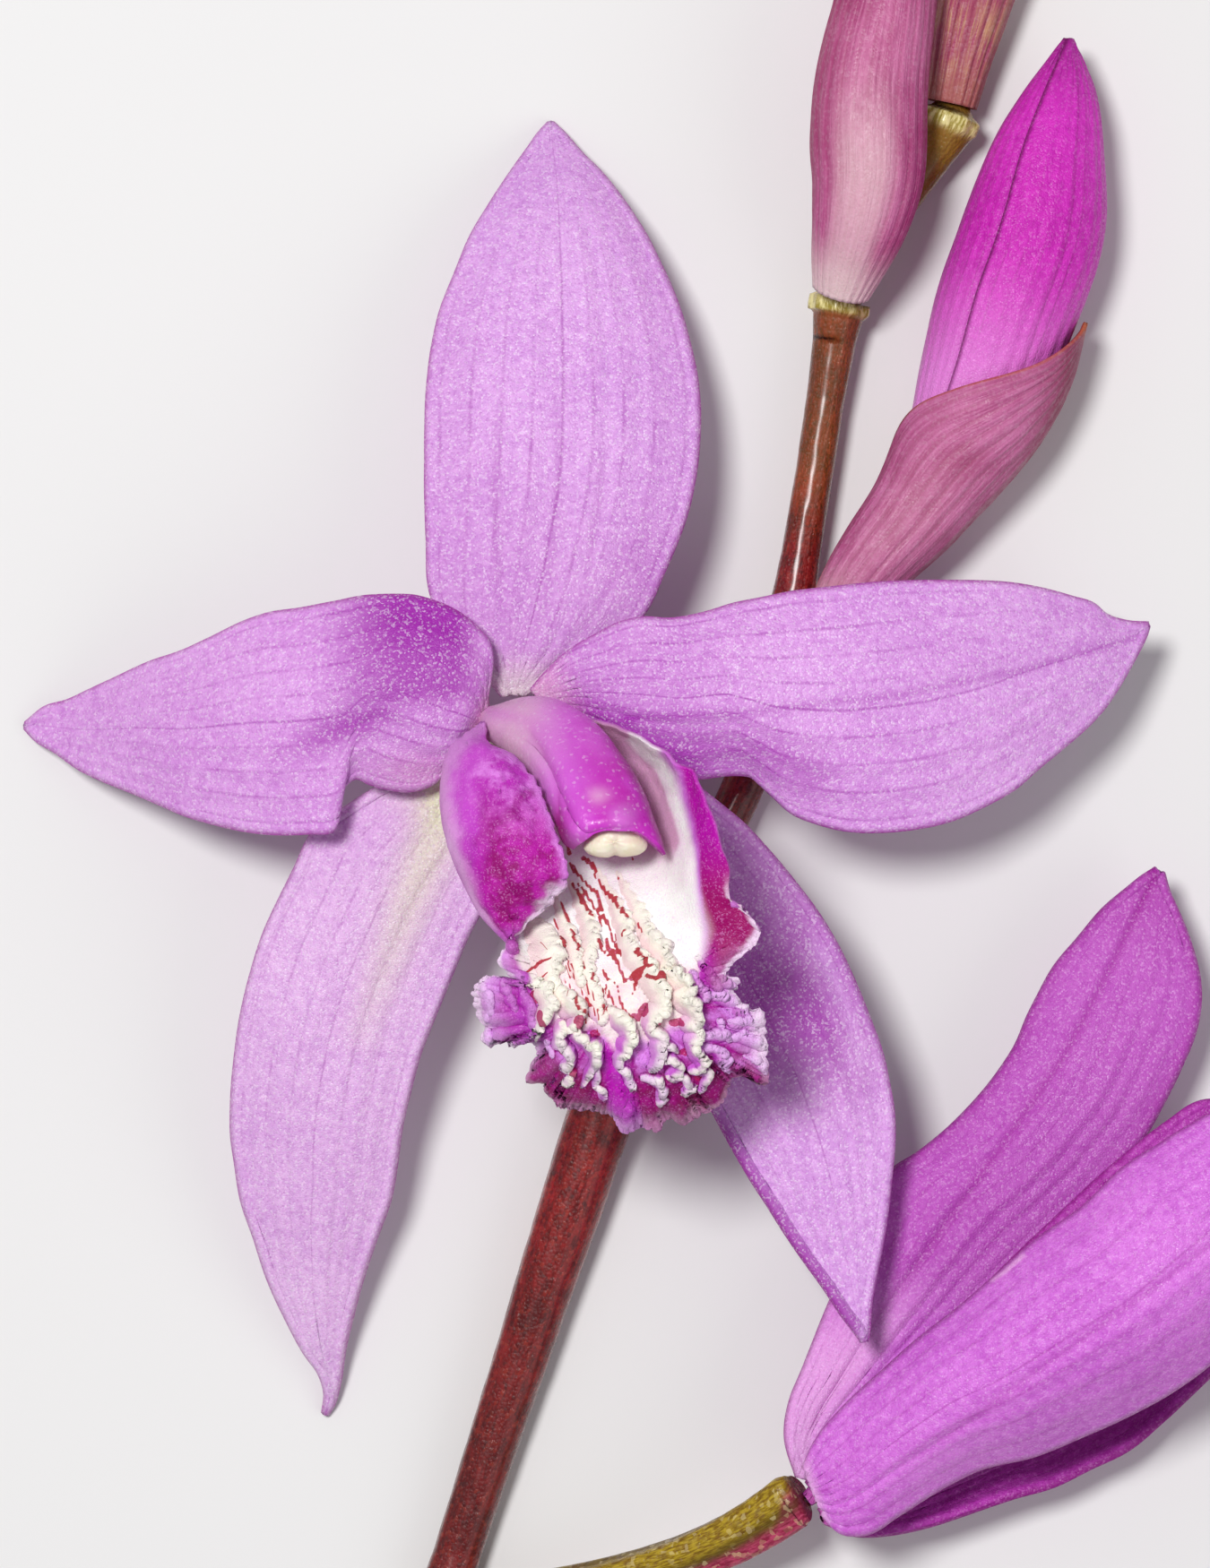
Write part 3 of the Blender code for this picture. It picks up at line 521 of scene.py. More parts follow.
def dorsal_extra(S, T, uv, h, data):
    u, v = uv[..., 0], uv[..., 1]
    blush = np.exp(-(((u - 722) / 42) ** 2 + ((v - 640) / 80) ** 2))
    streaks = np.zeros_like(u)
    for line in ([(618, 420), (624, 520), (616, 620), (600, 720)], [(560, 430), (552, 540), (556, 650), (570, 730)],
                 [(672, 470), (668, 560), (652, 660), (628, 720)], [(700, 600), (676, 660), (640, 722)]):
        d, where, _ = to_line(u, v, line)
        streaks = np.maximum(streaks, np.exp(-((d / 5) ** 2)) * np.sin(math.pi * np.clip(0.1 + 0.9 * where, 0, 1)))
    # painted shade toward the foot, over the lower part, along the left edge and across the right half
    low = np.exp(-(((u - 590) / 80) ** 2 + ((v - 630) / 110) ** 2))
    data["shade"] = np.clip(0.30 * blush + 0.20 * smooth(0.34 - S, 0, 0.3) + 0.14 * smooth(T, 0.3, 1.0) + 0.26 * streaks
                            + 0.22 * low + 0.13 * smooth(560 - u, 0, 60), 0, 1)
    return uv, h, data


leaf("dorsal_sepal_leaf",
     [(560, 776), (540, 752), (508, 715), (481, 667), (475.5, 597), (474, 510), (477, 423), (483, 380),
      (491.5, 345), (507, 306), (524, 265), (546, 228), (567, 196), (587, 168), (602, 147), (611, 138)],
     [(586, 774), (622, 752), (678, 722), (717, 688), (743, 636), (769, 567), (781, 484), (781, 450),
      (777, 415), (769, 380), (756, 337), (739, 298), (719, 259), (697.5, 226), (674, 196), (650, 172),
      (627, 146), (618, 138)],
     [8.45, 8.8, 8.8, 8.3, 7.5, 6.4, 5.0, 3.0, 0.40], [0, -.3, -.5, -.8, -1.0, -1.0, -.8, -.4, 0],
     [0, -.3, -.4, -.6, -.8, -.8, -.7, -.4, 0], SEPAL, "dorsal_sepal", rows=170, cols=85, extra=dorsal_extra)


def left_sepal_extra(S, T, uv, h, data):
    # a pale streak runs from the foot down its inner half
    d, where, _ = to_line(uv[..., 0], uv[..., 1], [(505, 868), (486, 930), (455, 1010), (425, 1095), (405, 1150)])
    data["pale"] = np.exp(-((d / (34 - 14 * where)) ** 2)) * (0.95 - 0.75 * where) + 0.8 * smooth(0.20 - S, 0, 0.16)
    data["pale"] = np.clip(data["pale"], 0, 1)
    return uv, h, data


leaf("left_lateral_sepal_leaf",
     [(546, 812), (500, 838), (440, 868), (390, 898), (346, 932), (330, 966), (313, 1000), (293, 1044),
      (281, 1082), (269, 1131), (262, 1179), (258, 1228), (258, 1267), (262, 1296), (269, 1339),
      (284, 1383), (298, 1426), (318, 1470), (339, 1509), (356, 1533), (362, 1553), (360, 1576)],
     [(562, 826), (563, 880), (560, 930), (552, 980), (537, 1017), (523, 1044), (507, 1082), (487, 1131),
      (470, 1174), (458, 1218), (448, 1262), (443, 1300), (436, 1339), (422, 1378), (407, 1422),
      (395, 1465), (385, 1509), (380, 1543), (372, 1570), (366, 1579)],
     [8.45, 8.5, 8.5, 8.2, 7.6, 6.7, 5.5, 4.1, 2.4, 0.40], [0, -.4, -.6, -.8, -.9, -.9, -.8, -.6, -.3, 0],
     [0, -.2, -.3, -.5, -.6, -.7, -.7, -.5, -.3, 0], SEPAL_LEFT, "left_lateral_sepal",
     rows=180, cols=75, extra=left_sepal_extra, curl=0.16)


def right_sepal_extra(S, T, uv, h, data):
    # its inner margin is turned up, which shows as a magenta strip
    low = smooth(S, 0.55, 0.66) * smooth(1 - S, 0.0, 0.04)
    edge = data["edge"]
    strip = np.where(T < 0, np.exp(-((edge / 0.42) ** 4)), 0) * low
    h = h + 0.35 * strip
    u, v = uv[..., 0], uv[..., 1]
    # painted shadow of the lip over the upper part of the sepal, lightened by a painted lit patch along its right side
    d, where, _ = to_line(u, v, [(912, 1062), (932, 1100), (948, 1140), (958, 1180)])
    painted_light = 0.75 * np.exp(-((d / 17) ** 2))
    painted_lip_shadow = (0.42 + 0.40 * np.exp(-(((v - 1140) / 100) ** 2))) * smooth(1290 - v, 0, 150) * smooth(1000 - u, -20, 60)
    data["shade"] = np.clip(strip * 0.95 + painted_lip_shadow * (1 - painted_light), 0, 1)
    return uv, h, data


leaf("right_lateral_sepal_leaf",
     [(582, 826), (612, 880), (652, 960), (700, 1060), (745, 1150), (775, 1205), (795, 1241), (805, 1260),
      (822, 1291), (840, 1321), (857, 1347), (879, 1382), (900, 1412), (922, 1443), (939, 1469),
      (955, 1489), (961, 1497)],
     [(598, 812), (660, 832), (720, 848), (765, 866), (781, 879), (805, 898), (831, 920), (857, 948),
      (883, 979), (909, 1013), (931, 1048), (952, 1091), (970, 1135), (983, 1170), (991, 1204), (997, 1239),
      (998, 1274), (995, 1308), (991, 1347), (985, 1386), (978, 1421), (972, 1456), (969, 1488), (967, 1497)],
     [8.45, 8.7, 9.0, 9.3, 9.5, 9.6, 9.6, 9.7, 9.9, 10.2], [0, -.4, -.5, -.7, -.8, -.9, -.9, -.8, -.4, 0],
     [0, -.2, -.4, -.6, -.8, -.9, -.8, -.5, -.3, 0], SEPAL, "right_lateral_sepal",
     rows=170, cols=75, extra=right_sepal_extra, curl=0.12)


def left_petal_extra(S, T, uv, h, data):
    # painted shade along the fold that runs from the notch towards the rounded shoulder, and over the shoulder above it
    d, where, side = to_line(uv[..., 0], uv[..., 1], [(322, 842), (360, 822), (396, 806), (430, 796), (470, 800)])
    data["shade"] = 0.75 * np.exp(-((d / 20) ** 2)) * np.sin(math.pi * np.clip(where * 0.9 + 0.08, 0, 1))
    u, v = uv[..., 0], uv[..., 1]
    line_v = np.interp(u, [322, 360, 396, 430, 470, 530], [842, 822, 806, 796, 792, 786])
    near = smooth(u, 335, 450) * smooth(548 - u, 0, 45) * smooth(line_v + 8 - v, 0, 30) * (0.75 + 0.25 * smooth(700 - v, -60, 10))
    data["shade"] = np.clip(np.maximum(0.95 * data["shade"], 0.80 * near) + 0.14 * smooth(u, 330, 470) + 0.08, 0, 1)
    data["pale"] = 0.5 * np.exp(-(((uv[..., 0] - 478) / 60) ** 2 + ((uv[..., 1] - 862) / 24) ** 2))
    h = h - 0.5 * np.exp(-((d / 26) ** 2)) * np.sin(math.pi * where)
    return uv, h, data


leaf("left_petal_leaf",
     [(545, 792), (543, 778), (546, 755), (548, 731), (545, 716), (530, 698), (508, 681), (482, 670),
      (464, 665), (438, 663.7), (408, 665), (371, 672), (334, 679), (297, 684.7), (271, 694), (234, 712),
      (201, 727), (168, 738), (131, 755), (99, 770), (75, 781), (51, 788), (29, 806)],
     [(524, 820), (512, 838), (497, 857), (482, 875), (457, 883), (434, 881), (412, 875), (397, 869),
      (384, 877), (377, 890), (376, 908), (371, 928), (345, 931), (316, 932), (279, 929), (242, 921),
      (205, 910), (175, 897), (142, 883), (112, 871), (86, 858), (64, 842), (42, 829), (28, 814)],
     [10.2, 11.3, 11.9, 11.8, 11.2, 10.2, 8.8, 7.0, 4.6, 2.2, 0.38],
     [-.2, -.8, -1.3, -1.6, -1.4, -1.2, -1.0, -.8, -.5, -.2, 0],
     [0, -.9, -1.6, -1.6, -.4, -.7, -.9, -.8, -.5, -.2, 0], PETAL, "left_petal",
     rows=170, cols=71, thick=0.36, extra=left_petal_extra, curl=0.08)


def right_petal_extra(S, T, uv, h, data):
    # painted shade toward the flower's centre, along the fold near the lower margin and in a strip beside the column,
    # with a thin darker line across the blade
    near = smooth(uv[..., 0], 930, 640)
    d, where, _ = to_line(uv[..., 0], uv[..., 1], [(640, 790), (720, 822), (790, 838), (850, 838), (905, 862)])
    data["shade"] = np.clip(0.30 * near + 0.45 * np.exp(-((d / 26) ** 2)), 0, 1)
    d2, _, _ = to_line(uv[..., 0], uv[..., 1], [(700, 800), (831, 795), (995, 777), (1146, 746), (1267, 712)])
    data["shade"] = np.clip(data["shade"] + 0.38 * np.exp(-((d2 / 5) ** 2)), 0, 1)
    d3, _, _ = to_line(uv[..., 0], uv[..., 1], [(630, 792), (680, 818), (730, 842), (770, 856)])
    data["shade"] = np.clip(data["shade"] + 0.42 * np.exp(-((d3 / 18) ** 2)), 0, 1)
    return uv, h, data


leaf("right_petal_leaf",
     [(592, 770), (606, 753), (637, 724), (666, 707), (695, 693), (714, 689), (748, 690), (787, 683),
      (816, 674), (850, 667), (879, 661), (928, 655), (976, 650), (1025, 648), (1073, 648), (1122, 650),
      (1160, 656), (1194, 665), (1219, 673), (1233, 685), (1257, 693), (1281, 695)],
     [(612, 790), (650, 806), (695, 832), (740, 858), (780, 869), (797, 867), (821, 865), (838, 867),
      (850, 877), (865, 891), (884, 908), (913, 920), (947, 928), (986, 929), (1025, 925), (1063, 916),
      (1097, 901), (1131, 882), (1160, 857), (1189, 833), (1214, 811), (1233, 790), (1252, 761),
      (1267, 734), (1279, 709), (1281, 701)],
     [10.2, 11.2, 11.6, 11.4, 11.0, 10.4, 9.5, 8.3, 6.8, 5.2],
     [-.2, -.6, -.9, -1.1, -1.1, -1.0, -.9, -.7, -.4, 0],
     [0, -.8, -1.5, -1.7, -1.2, -.9, -1.0, -.9, -.5, 0], PETAL, "right_petal",
     rows=180, cols=75, thick=0.36, extra=right_petal_extra, curl=0.06)

# ------------------------------------------------------------ the lip
LIP_NET = np.array([
    [(541, 806, 12.6), (534, 811, 12.0), (533, 822, 10.9), (548, 832, 10.0), (575, 836, 9.6), (602, 828, 10.0), (622, 814, 10.9), (634, 806, 11.9), (640, 803, 12.5)],
    [(546, 832, 15.8), (522, 826, 15.6), (503, 840, 13.7), (522, 868, 12.0), (590, 874, 11.8), (650, 856, 12.4), (682, 834, 13.8), (692, 819, 15.4), (688, 811, 16.2)],
    [(579, 848, 18.6), (535, 842, 18.8), (495, 872, 16.4), (520, 905, 13.8), (605, 907, 13.9), (680, 888, 14.7), (720, 864, 16.3), (737, 846, 18.2), (731, 830, 19.1)],
    [(604, 889, 20.7), (550, 885, 21.0), (496, 912, 18.6), (532, 945, 15.7), (622, 942, 15.9), (705, 926, 16.7), (747, 902, 18.5), (769, 880, 20.4), (768, 860, 21.1)],
    [(624, 940, 21.9), (565, 935, 22.2), (507, 952, 20.0), (545, 985, 17.5), (638, 977, 17.5), (725, 966, 18.3), (767, 945, 20.3), (788, 922, 21.6), (795, 906, 22.1)],
    [(635, 978, 22.0), (578, 978, 22.5), (521, 984, 21.0), (556, 1012, 18.9), (650, 1014, 18.9), (735, 1010, 19.5), (777, 995, 21.1), (802, 976, 21.9), (812, 965, 22.2)],
    [(618, 1006, 21.4), (572, 1012, 21.9), (539, 1020, 21.0), (575, 1042, 19.7), (660, 1047, 19.7), (742, 1046, 20.3), (787, 1036, 21.3), (818, 1022, 21.8), (842, 1036, 21.8)],
    [(562, 1060, 20.8), (570, 1063, 20.9), (580, 1069, 20.7), (607, 1077, 20.3), (668, 1082, 20.5), (745, 1081, 20.7), (783, 1079, 21.0), (803, 1076, 21.2), (822, 1072, 21.2)],
    [(542, 1094, 20.2), (561, 1100, 20.8), (582, 1105, 20.7), (615, 1111, 20.7), (675, 1116, 20.9), (745, 1116, 20.9), (781, 1113, 20.9), (806, 1108, 20.9), (824, 1101, 20.6)],
    [(535, 1130, 19.2), (562, 1136, 20.2), (590, 1141, 20.5), (625, 1147, 20.7), (681, 1152, 20.8), (747, 1151, 20.7), (791, 1149, 20.4), (822, 1145, 20.2), (850, 1141, 19.8)],
    [(560, 1165, 18.5), (588, 1168, 19.3), (612, 1173, 19.9), (642, 1181, 20.2), (686, 1189, 20.3), (741, 1189, 20.2), (787, 1190, 19.8), (822, 1191, 19.4), (855, 1192, 19.0)],
    [(592, 1203, 18.0), (612, 1207, 18.5), (632, 1212, 18.9), (657, 1219, 19.2), (691, 1226, 19.1), (735, 1223, 19.1), (765, 1220, 18.9), (790, 1216, 18.6), (813, 1212, 18.2)],
    [(636, 1235, 17.5), (652, 1239, 17.5), (668, 1243, 17.5), (681, 1249, 17.4), (699, 1259, 17.1), (719, 1260, 17.2), (739, 1257, 17.3), (757, 1250, 17.4), (782, 1246, 17.4)],
], float)

# Plates on the lip: u, v, half width and height (mm) along each
PLATES = [
    [(584, 1018, 5, .10), (594, 1036, 12, .35), (604, 1052, 17, .55), (609, 1070, 18, .70), (612, 1086, 12, .60), (616, 1100, 7, .5)],
    [(594, 1098, 4, .3), (606, 1108, 9, .7), (612, 1120, 9, .9), (606, 1134, 7, .8), (600, 1148, 5, .6)],
    [(618, 1098, 3, .4), (626, 1114, 9, .8), (637, 1124, 12, 1.05), (645, 1130, 8, 1.0), (636, 1146, 6, .7)],
    [(634, 984, 3, .10), (645, 1008, 6, .30), (654, 1030, 9, .50), (659, 1047, 9, .70), (656, 1066, 8, .50), (655, 1088, 7, .35), (662, 1112, 8, .3), (668, 1134, 8, .35)],
    [(618, 1002, 3, .15), (627, 1028, 6, .35), (636, 1052, 8, .45), (642, 1074, 7, .4), (646, 1096, 5, .3)],
    [(664, 966, 2, .10), (678, 995, 5, .30), (690, 1020, 9, .60), (698, 1042, 9, .80), (700, 1060, 9, .75), (711, 1075, 11, .85), (723, 1090, 12, .95),
     (734, 1106, 11, 1.05), (738, 1118, 10, 1.0), (728, 1132, 8, .85), (723, 1146, 7, .8), (734, 1155, 9, 1.0), (734, 1172, 9, .95), (728, 1188, 6, .7)],
    [(690, 975, 2, .15), (703, 1003, 6, .40), (714, 1026, 8, .6), (724, 1046, 9, .8), (735, 1060, 11, .9), (744, 1074, 9, .9), (740, 1088, 6, .6)],
    [(744, 1092, 7, .7), (758, 1097, 12, 1.1), (767, 1100, 9, 1.1), (758, 1112, 8, .9), (768, 1122, 10, 1.1), (773, 1132, 8, 1.0), (765, 1142, 8, .85),
     (776, 1149, 8, 1.0), (768, 1160, 7, .85), (774, 1172, 8, 1.0), (781, 1183, 7, 1.0), (771, 1190, 4, .7)],
    [(682, 1128, 5, .5), (690, 1140, 10, .9), (700, 1150, 13, 1.15), (698, 1162, 11, 1.05), (692, 1176, 7, .7), (691, 1188, 4, .6), (699, 1196, 5, .8), (702, 1207, 4, .8)],
    [(641, 1146, 4, .6), (646, 1156, 7, .9), (655, 1164, 8, 1.0), (664, 1171, 11, 1.25), (664, 1184, 6, .9), (657, 1196, 4, .7), (652, 1208, 3, .6)],
    [(665, 1188, 4, .6), (665, 1203, 3, .6), (671, 1221, 3, .6)],
    [(628, 1142, 4, .6), (624, 1156, 5, .8), (630, 1168, 7, .9), (638, 1178, 7, .9), (630, 1188, 4, .6), (640, 1196, 5, .7), (634, 1204, 4, .5)],
    [(718, 1200, 3, .6), (730, 1204, 6, .9), (739, 1212, 6, .9), (737, 1226, 4, .6)],
    [(738, 1182, 3, .6), (748, 1181, 5, .9), (755, 1188, 5, .9), (746, 1197, 4, .6)],
    [(752, 1202, 3, .6), (762, 1199, 5, .9), (767, 1208, 5, .9), (763, 1216, 3, .5)],
    [(773, 1194, 3, .5), (783, 1196, 4, .8), (784, 1206, 3, .7), (780, 1213, 2, .5)],
    [(738, 1166, 4, .7), (746, 1166, 5, .9), (750, 1170, 4, .6)],
]
# Lilac folds and knobs beside them, in the same form
FOLDS = [
    [(776, 1158, 4, .5), (790, 1155, 6, .8), (806, 1154, 7, .9), (812, 1158, 4, .6)],
    [(786, 1170, 5, .6), (798, 1172, 7, .9), (806, 1182, 7, .9), (810, 1190, 4, .5)],
    [(774, 1088, 3, .5), (779, 1100, 4, .8), (785, 1110, 4, .8)],
    [(780, 1070, 2, .3), (788, 1082, 3, .5), (798, 1098, 4, .5)],
    [(802, 1140, 3, .5), (803, 1146, 3, .6)],
    [(796, 1112, 4, .3), (812, 1118, 6, .5), (826, 1128, 6, .5)],
    [(816, 1140, 5, .4), (832, 1142, 8, .6), (847, 1138, 6, .5)],
    [(818, 1158, 4, .3), (834, 1158, 7, .5), (850, 1168, 6, .5)],
    [(832, 1180, 4, .3), (846, 1184, 6, .5), (852, 1196, 5, .4)],
    [(806, 1096, 4, .4), (816, 1100, 5, .5)],
    [(540, 1102, 4, .2), (546, 1116, 6, .3), (544, 1134, 5, .25)],
    [(562, 1098, 3, .2), (566, 1112, 4, .3), (574, 1124, 4, .3)],
    [(582, 1100, 3, .4), (583, 1110, 4, .5), (590, 1126, 5, .6), (592, 1142, 5, .5)],
    [(598, 1150, 4, .5), (584, 1156, 4, .5), (570, 1162, 4, .4)],
    [(545, 1152, 5, .6), (544, 1160, 5, .6)],
    [(612, 1160, 3, .4), (616, 1176, 4, .4)],
    [(690, 1216, 6, .2), (693, 1234, 10, .4), (700, 1254, 8, .4)],
]
FRONT_EDGE = [
    (556, 1060), (564, 1078), (582, 1089), (573, 1096), (557, 1092), (543, 1091), (533, 1099), (531, 1119), (534, 1135), (545, 1147),
    (538, 1156), (545, 1165), (561, 1158), (573, 1165), (587, 1161), (598, 1168), (600, 1181), (591, 1195), (591, 1207), (607, 1209),
    (609, 1220), (621, 1230), (639, 1238), (662, 1239), (681, 1244), (688, 1255), (694, 1262), (713, 1258), (733, 1259), (750, 1247),
    (763, 1252), (775, 1246), (793, 1239), (807, 1225), (814, 1207), (828, 1200), (841, 1204), (851, 1211), (857, 1197), (855, 1179),
    (853, 1161), (851, 1147), (848, 1133), (834, 1129), (828, 1117), (818, 1106), (823, 1094), (811, 1089), (800, 1083), (800, 1070),
]
# Where the pale floor of the lip ends and where its crimson front begins, u over v
PALE_TO = ([540, 562, 575, 588, 592, 598, 606, 620, 640, 660, 672, 684, 700, 712, 722, 738, 750, 764, 774, 780, 788, 800, 815],
           [1060, 1072, 1080, 1086, 1098, 1112, 1128, 1136, 1142, 1146, 1150, 1164, 1172, 1158, 1160, 1156, 1148, 1138, 1118, 1090, 1064, 1046, 1030])
DEEP_FROM = ([560, 585, 600, 625, 650, 670, 690, 710, 740, 775, 800, 850], [1184, 1172, 1166, 1180, 1190, 1190, 1212, 1196, 1192, 1186, 1178, 1186])


# Dark red dashes: u, v and half width along each
DASHES = [
    [(633, 946, 2.2), (636, 955, 2.2), (638, 959, 1)],
    [(637, 965, 1.5), (642, 974, 3.2), (648, 981, 1.8), (655, 989, 1.8), (661, 995, 2.5), (666, 997, 2.6), (668, 1005, 2.2), (672, 1017, 3.2)],
    [(652, 960, 3), (660, 966, 3.2), (666, 975, 1.8)],
    [(663, 977, 1.4), (671, 988, 1.8), (676, 997, 2.6), (686, 1006, 3), (691, 1016, 1.4), (698, 1024, 2.6), (702, 1031, 1.0)],
    [(645, 988, 1.0), (652, 997, 2.8), (660, 1009, 1.8), (666, 1019, 1.8), (671, 1036, 1.2)],
    [(639, 989, 1.0), (647, 1002, 2.8), (652, 1012, 2.8), (660, 1026, 1.0)],
    [(673, 1024, 3.0), (679, 1033, 2.4), (683, 1041, 1.4), (683, 1050, 1.4), (690, 1058, 2.4), (695, 1067, 2.0)],
    [(677, 1050, 2.4), (680, 1062, 3.2), (686, 1070, 3.4), (691, 1080, 1.4), (697, 1096, 2.8)],
    [(682, 1063, 3.5), (692, 1064, 2.5)],
    [(623, 1005, .8), (628, 1017, 1.6), (637, 1036, 1.6)],
    [(638, 1042, 1.2), (643, 1053, 1.6), (647, 1069, .8)],
    [(618, 1027, 1.2), (624, 1038, 2.0)],
    [(625, 1052, 2.4), (631, 1062, 2.8), (635, 1073, 1.4), (638, 1085, 1.4)],
    [(632, 1078, 1.0), (636, 1093, 1.2)],
    [(640, 1078, 1.0), (643, 1093, 1.4)],
    [(668, 1056, 1.6), (673, 1063, 1.6), (679, 1069, .8)],
    [(673, 1084, 1.6), (678, 1094, 2.6)],
    [(712, 1066, 2.2), (721, 1075, 2.4), (727, 1083, 2.8)],
    [(724, 1091, 2), (735, 1094, 3.2), (744, 1090, 1.6)],
    [(714, 1033, 1.8), (717, 1038, 1.8), (720, 1044, .9)],
    [(699, 1044, 1.8), (697, 1050, 1.2)],
    [(724, 1080, 2.0), (714, 1088, 5.2), (704, 1093, 3.4)],
    [(712, 1092, 3.6), (708, 1101, 2.0), (706, 1110, 1.0)],
    [(652, 1078, 2.4), (654, 1083, 2.0)],
    [(652, 1090, 1.0), (656, 1099, 1.6), (659, 1110, 1.2)],
    [(660, 1088, .9), (663, 1098, .9)],
    [(640, 1105, 1.2), (645, 1118, 1.6), (652, 1128, 1.0)],
    [(632, 1102, .9), (636, 1112, .9)],
    [(674, 1104, 1.2), (679, 1113, 1.2)],
    [(690, 1112, 1.2), (694, 1122, 1.8), (699, 1130, 1.0)],
    [(686, 1098, .9), (690, 1108, .9)],
    [(656, 1114, 1.6), (660, 1122, 2.0)],
    [(664, 1122, .9), (665, 1133, .9)],
    [(672, 1122, .9), (673, 1133, .9)],
    [(704, 956, .8), (708, 962, 1.0)],
    [(687, 976, .9), (692, 984, 1.1)],
]
DASHES += [
    [(676, 1100, 1.0), (682, 1112, 1.6), (688, 1126, 1.2)], [(683, 1094, .8), (690, 1104, 1.0)], [(668, 1096, .8), (671, 1108, 1.2), (676, 1120, 1.0)],
    [(661, 1104, .8), (664, 1116, 1.4)], [(655, 1122, 1.0), (659, 1134, 1.4)], [(668, 1126, .8), (670, 1138, 1.0)], [(678, 1124, .8), (682, 1136, 1.0)],
    [(696, 1126, 1.2), (704, 1136, 2.0)], [(647, 1100, .8), (650, 1110, 1.2)], [(634, 1096, .8), (638, 1106, 1.0)], [(652, 1130, .8), (655, 1142, 1.2)],
    [(663, 1140, .8), (666, 1150, 1.2)], [(628, 1086, .8), (631, 1098, 1.2)], [(603, 1056, .6), (612, 1066, .8)], [(688, 1044, 1.4), (690, 1052, 1.0)],
    [(602, 1093, 1.4), (612, 1088, 1.0)], [(587, 1084, 1.6), (600, 1077, 2.2), (617, 1074, 1.0)],
]
PATCHES = [
    (719, 1127, 9, 7), (711, 1134, 8, 5), (754, 1140, 11, 4), (607, 1134, 4, 7), (647, 1139, 4, 7), (663, 1153, 6, 7),
    (596, 1113, 4, 8), (760, 1173, 8, 4), (735, 1140, 3, 3), (628, 1172, 4, 6), (778, 1200, 5, 5), (640, 1193, 4, 4),
]


def reach(u, v):
    """How far the measured edge of the front lobe lies from its middle, by bearing."""
    return np.arctan2(-(u - FRONT_MID[0]), v - FRONT_MID[1]), np.hypot(u - FRONT_MID[0], v - FRONT_MID[1])


FRONT_MID = (695.0, 1120.0)


def bearings(line):
    line = catmull(np.array(line, float), np.linspace(0, 1, 900))
    ang, r = reach(line[:, 0], line[:, 1])
    order = np.argsort(ang)
    return ang[order], r[order]


def plates(u, v, lines, seed):
    """Height, body and tilt of thin plates that stand up on their right hand side."""
    up, body, lean = np.zeros_like(u), np.zeros_like(u), np.zeros_like(u)
    for k, line in enumerate(lines):
        line = np.array(line, float)
        fine = catmull(line, np.linspace(0, 1, 48))
        d, where, side = to_line(u, v, fine[:, :2])
        long = np.linalg.norm(np.diff(fine[:, :2], axis=0), axis=1).sum()
        along = np.linspace(0, 1, 48)
        scallop = np.abs(np.sin(math.pi * (where * long / 15.0) + k * 1.3 + seed))
        wide = np.interp(where, along, fine[:, 2])
        high = np.interp(where, along, fine[:, 3]) * (0.97 + 0.05 * scallop)
        frill = noise2(where * long / 6.0, 0.5 + 0 * where, 60 + k)
        turn = where * long / 14.0 + k * 0.37
        tooth = (1 - np.abs(2 * (turn - np.floor(turn)) - 1)) * (0.5 + 0.9 * frill)
        wide = wide * np.where(side < 0, 0.72 + 0.58 * tooth, 0.86 + 0.24 * frill) * (1 - 0.26 * smooth(v, 1118, 1160))
        tilt = 0.5 + 0.5 * np.clip(-side * d / wide, -1, 1)
        b = smooth(wide - d, -0.8, 1.2)
        h = b * high * (0.16 + 0.84 * tilt) * (1 + 0.12 * smooth(tilt, 0.6, 0.95))
        more = h > up
        lean = np.where(more, tilt, lean)
        up = np.maximum(up, h)
        body = np.maximum(body, b)
    return up, body, lean


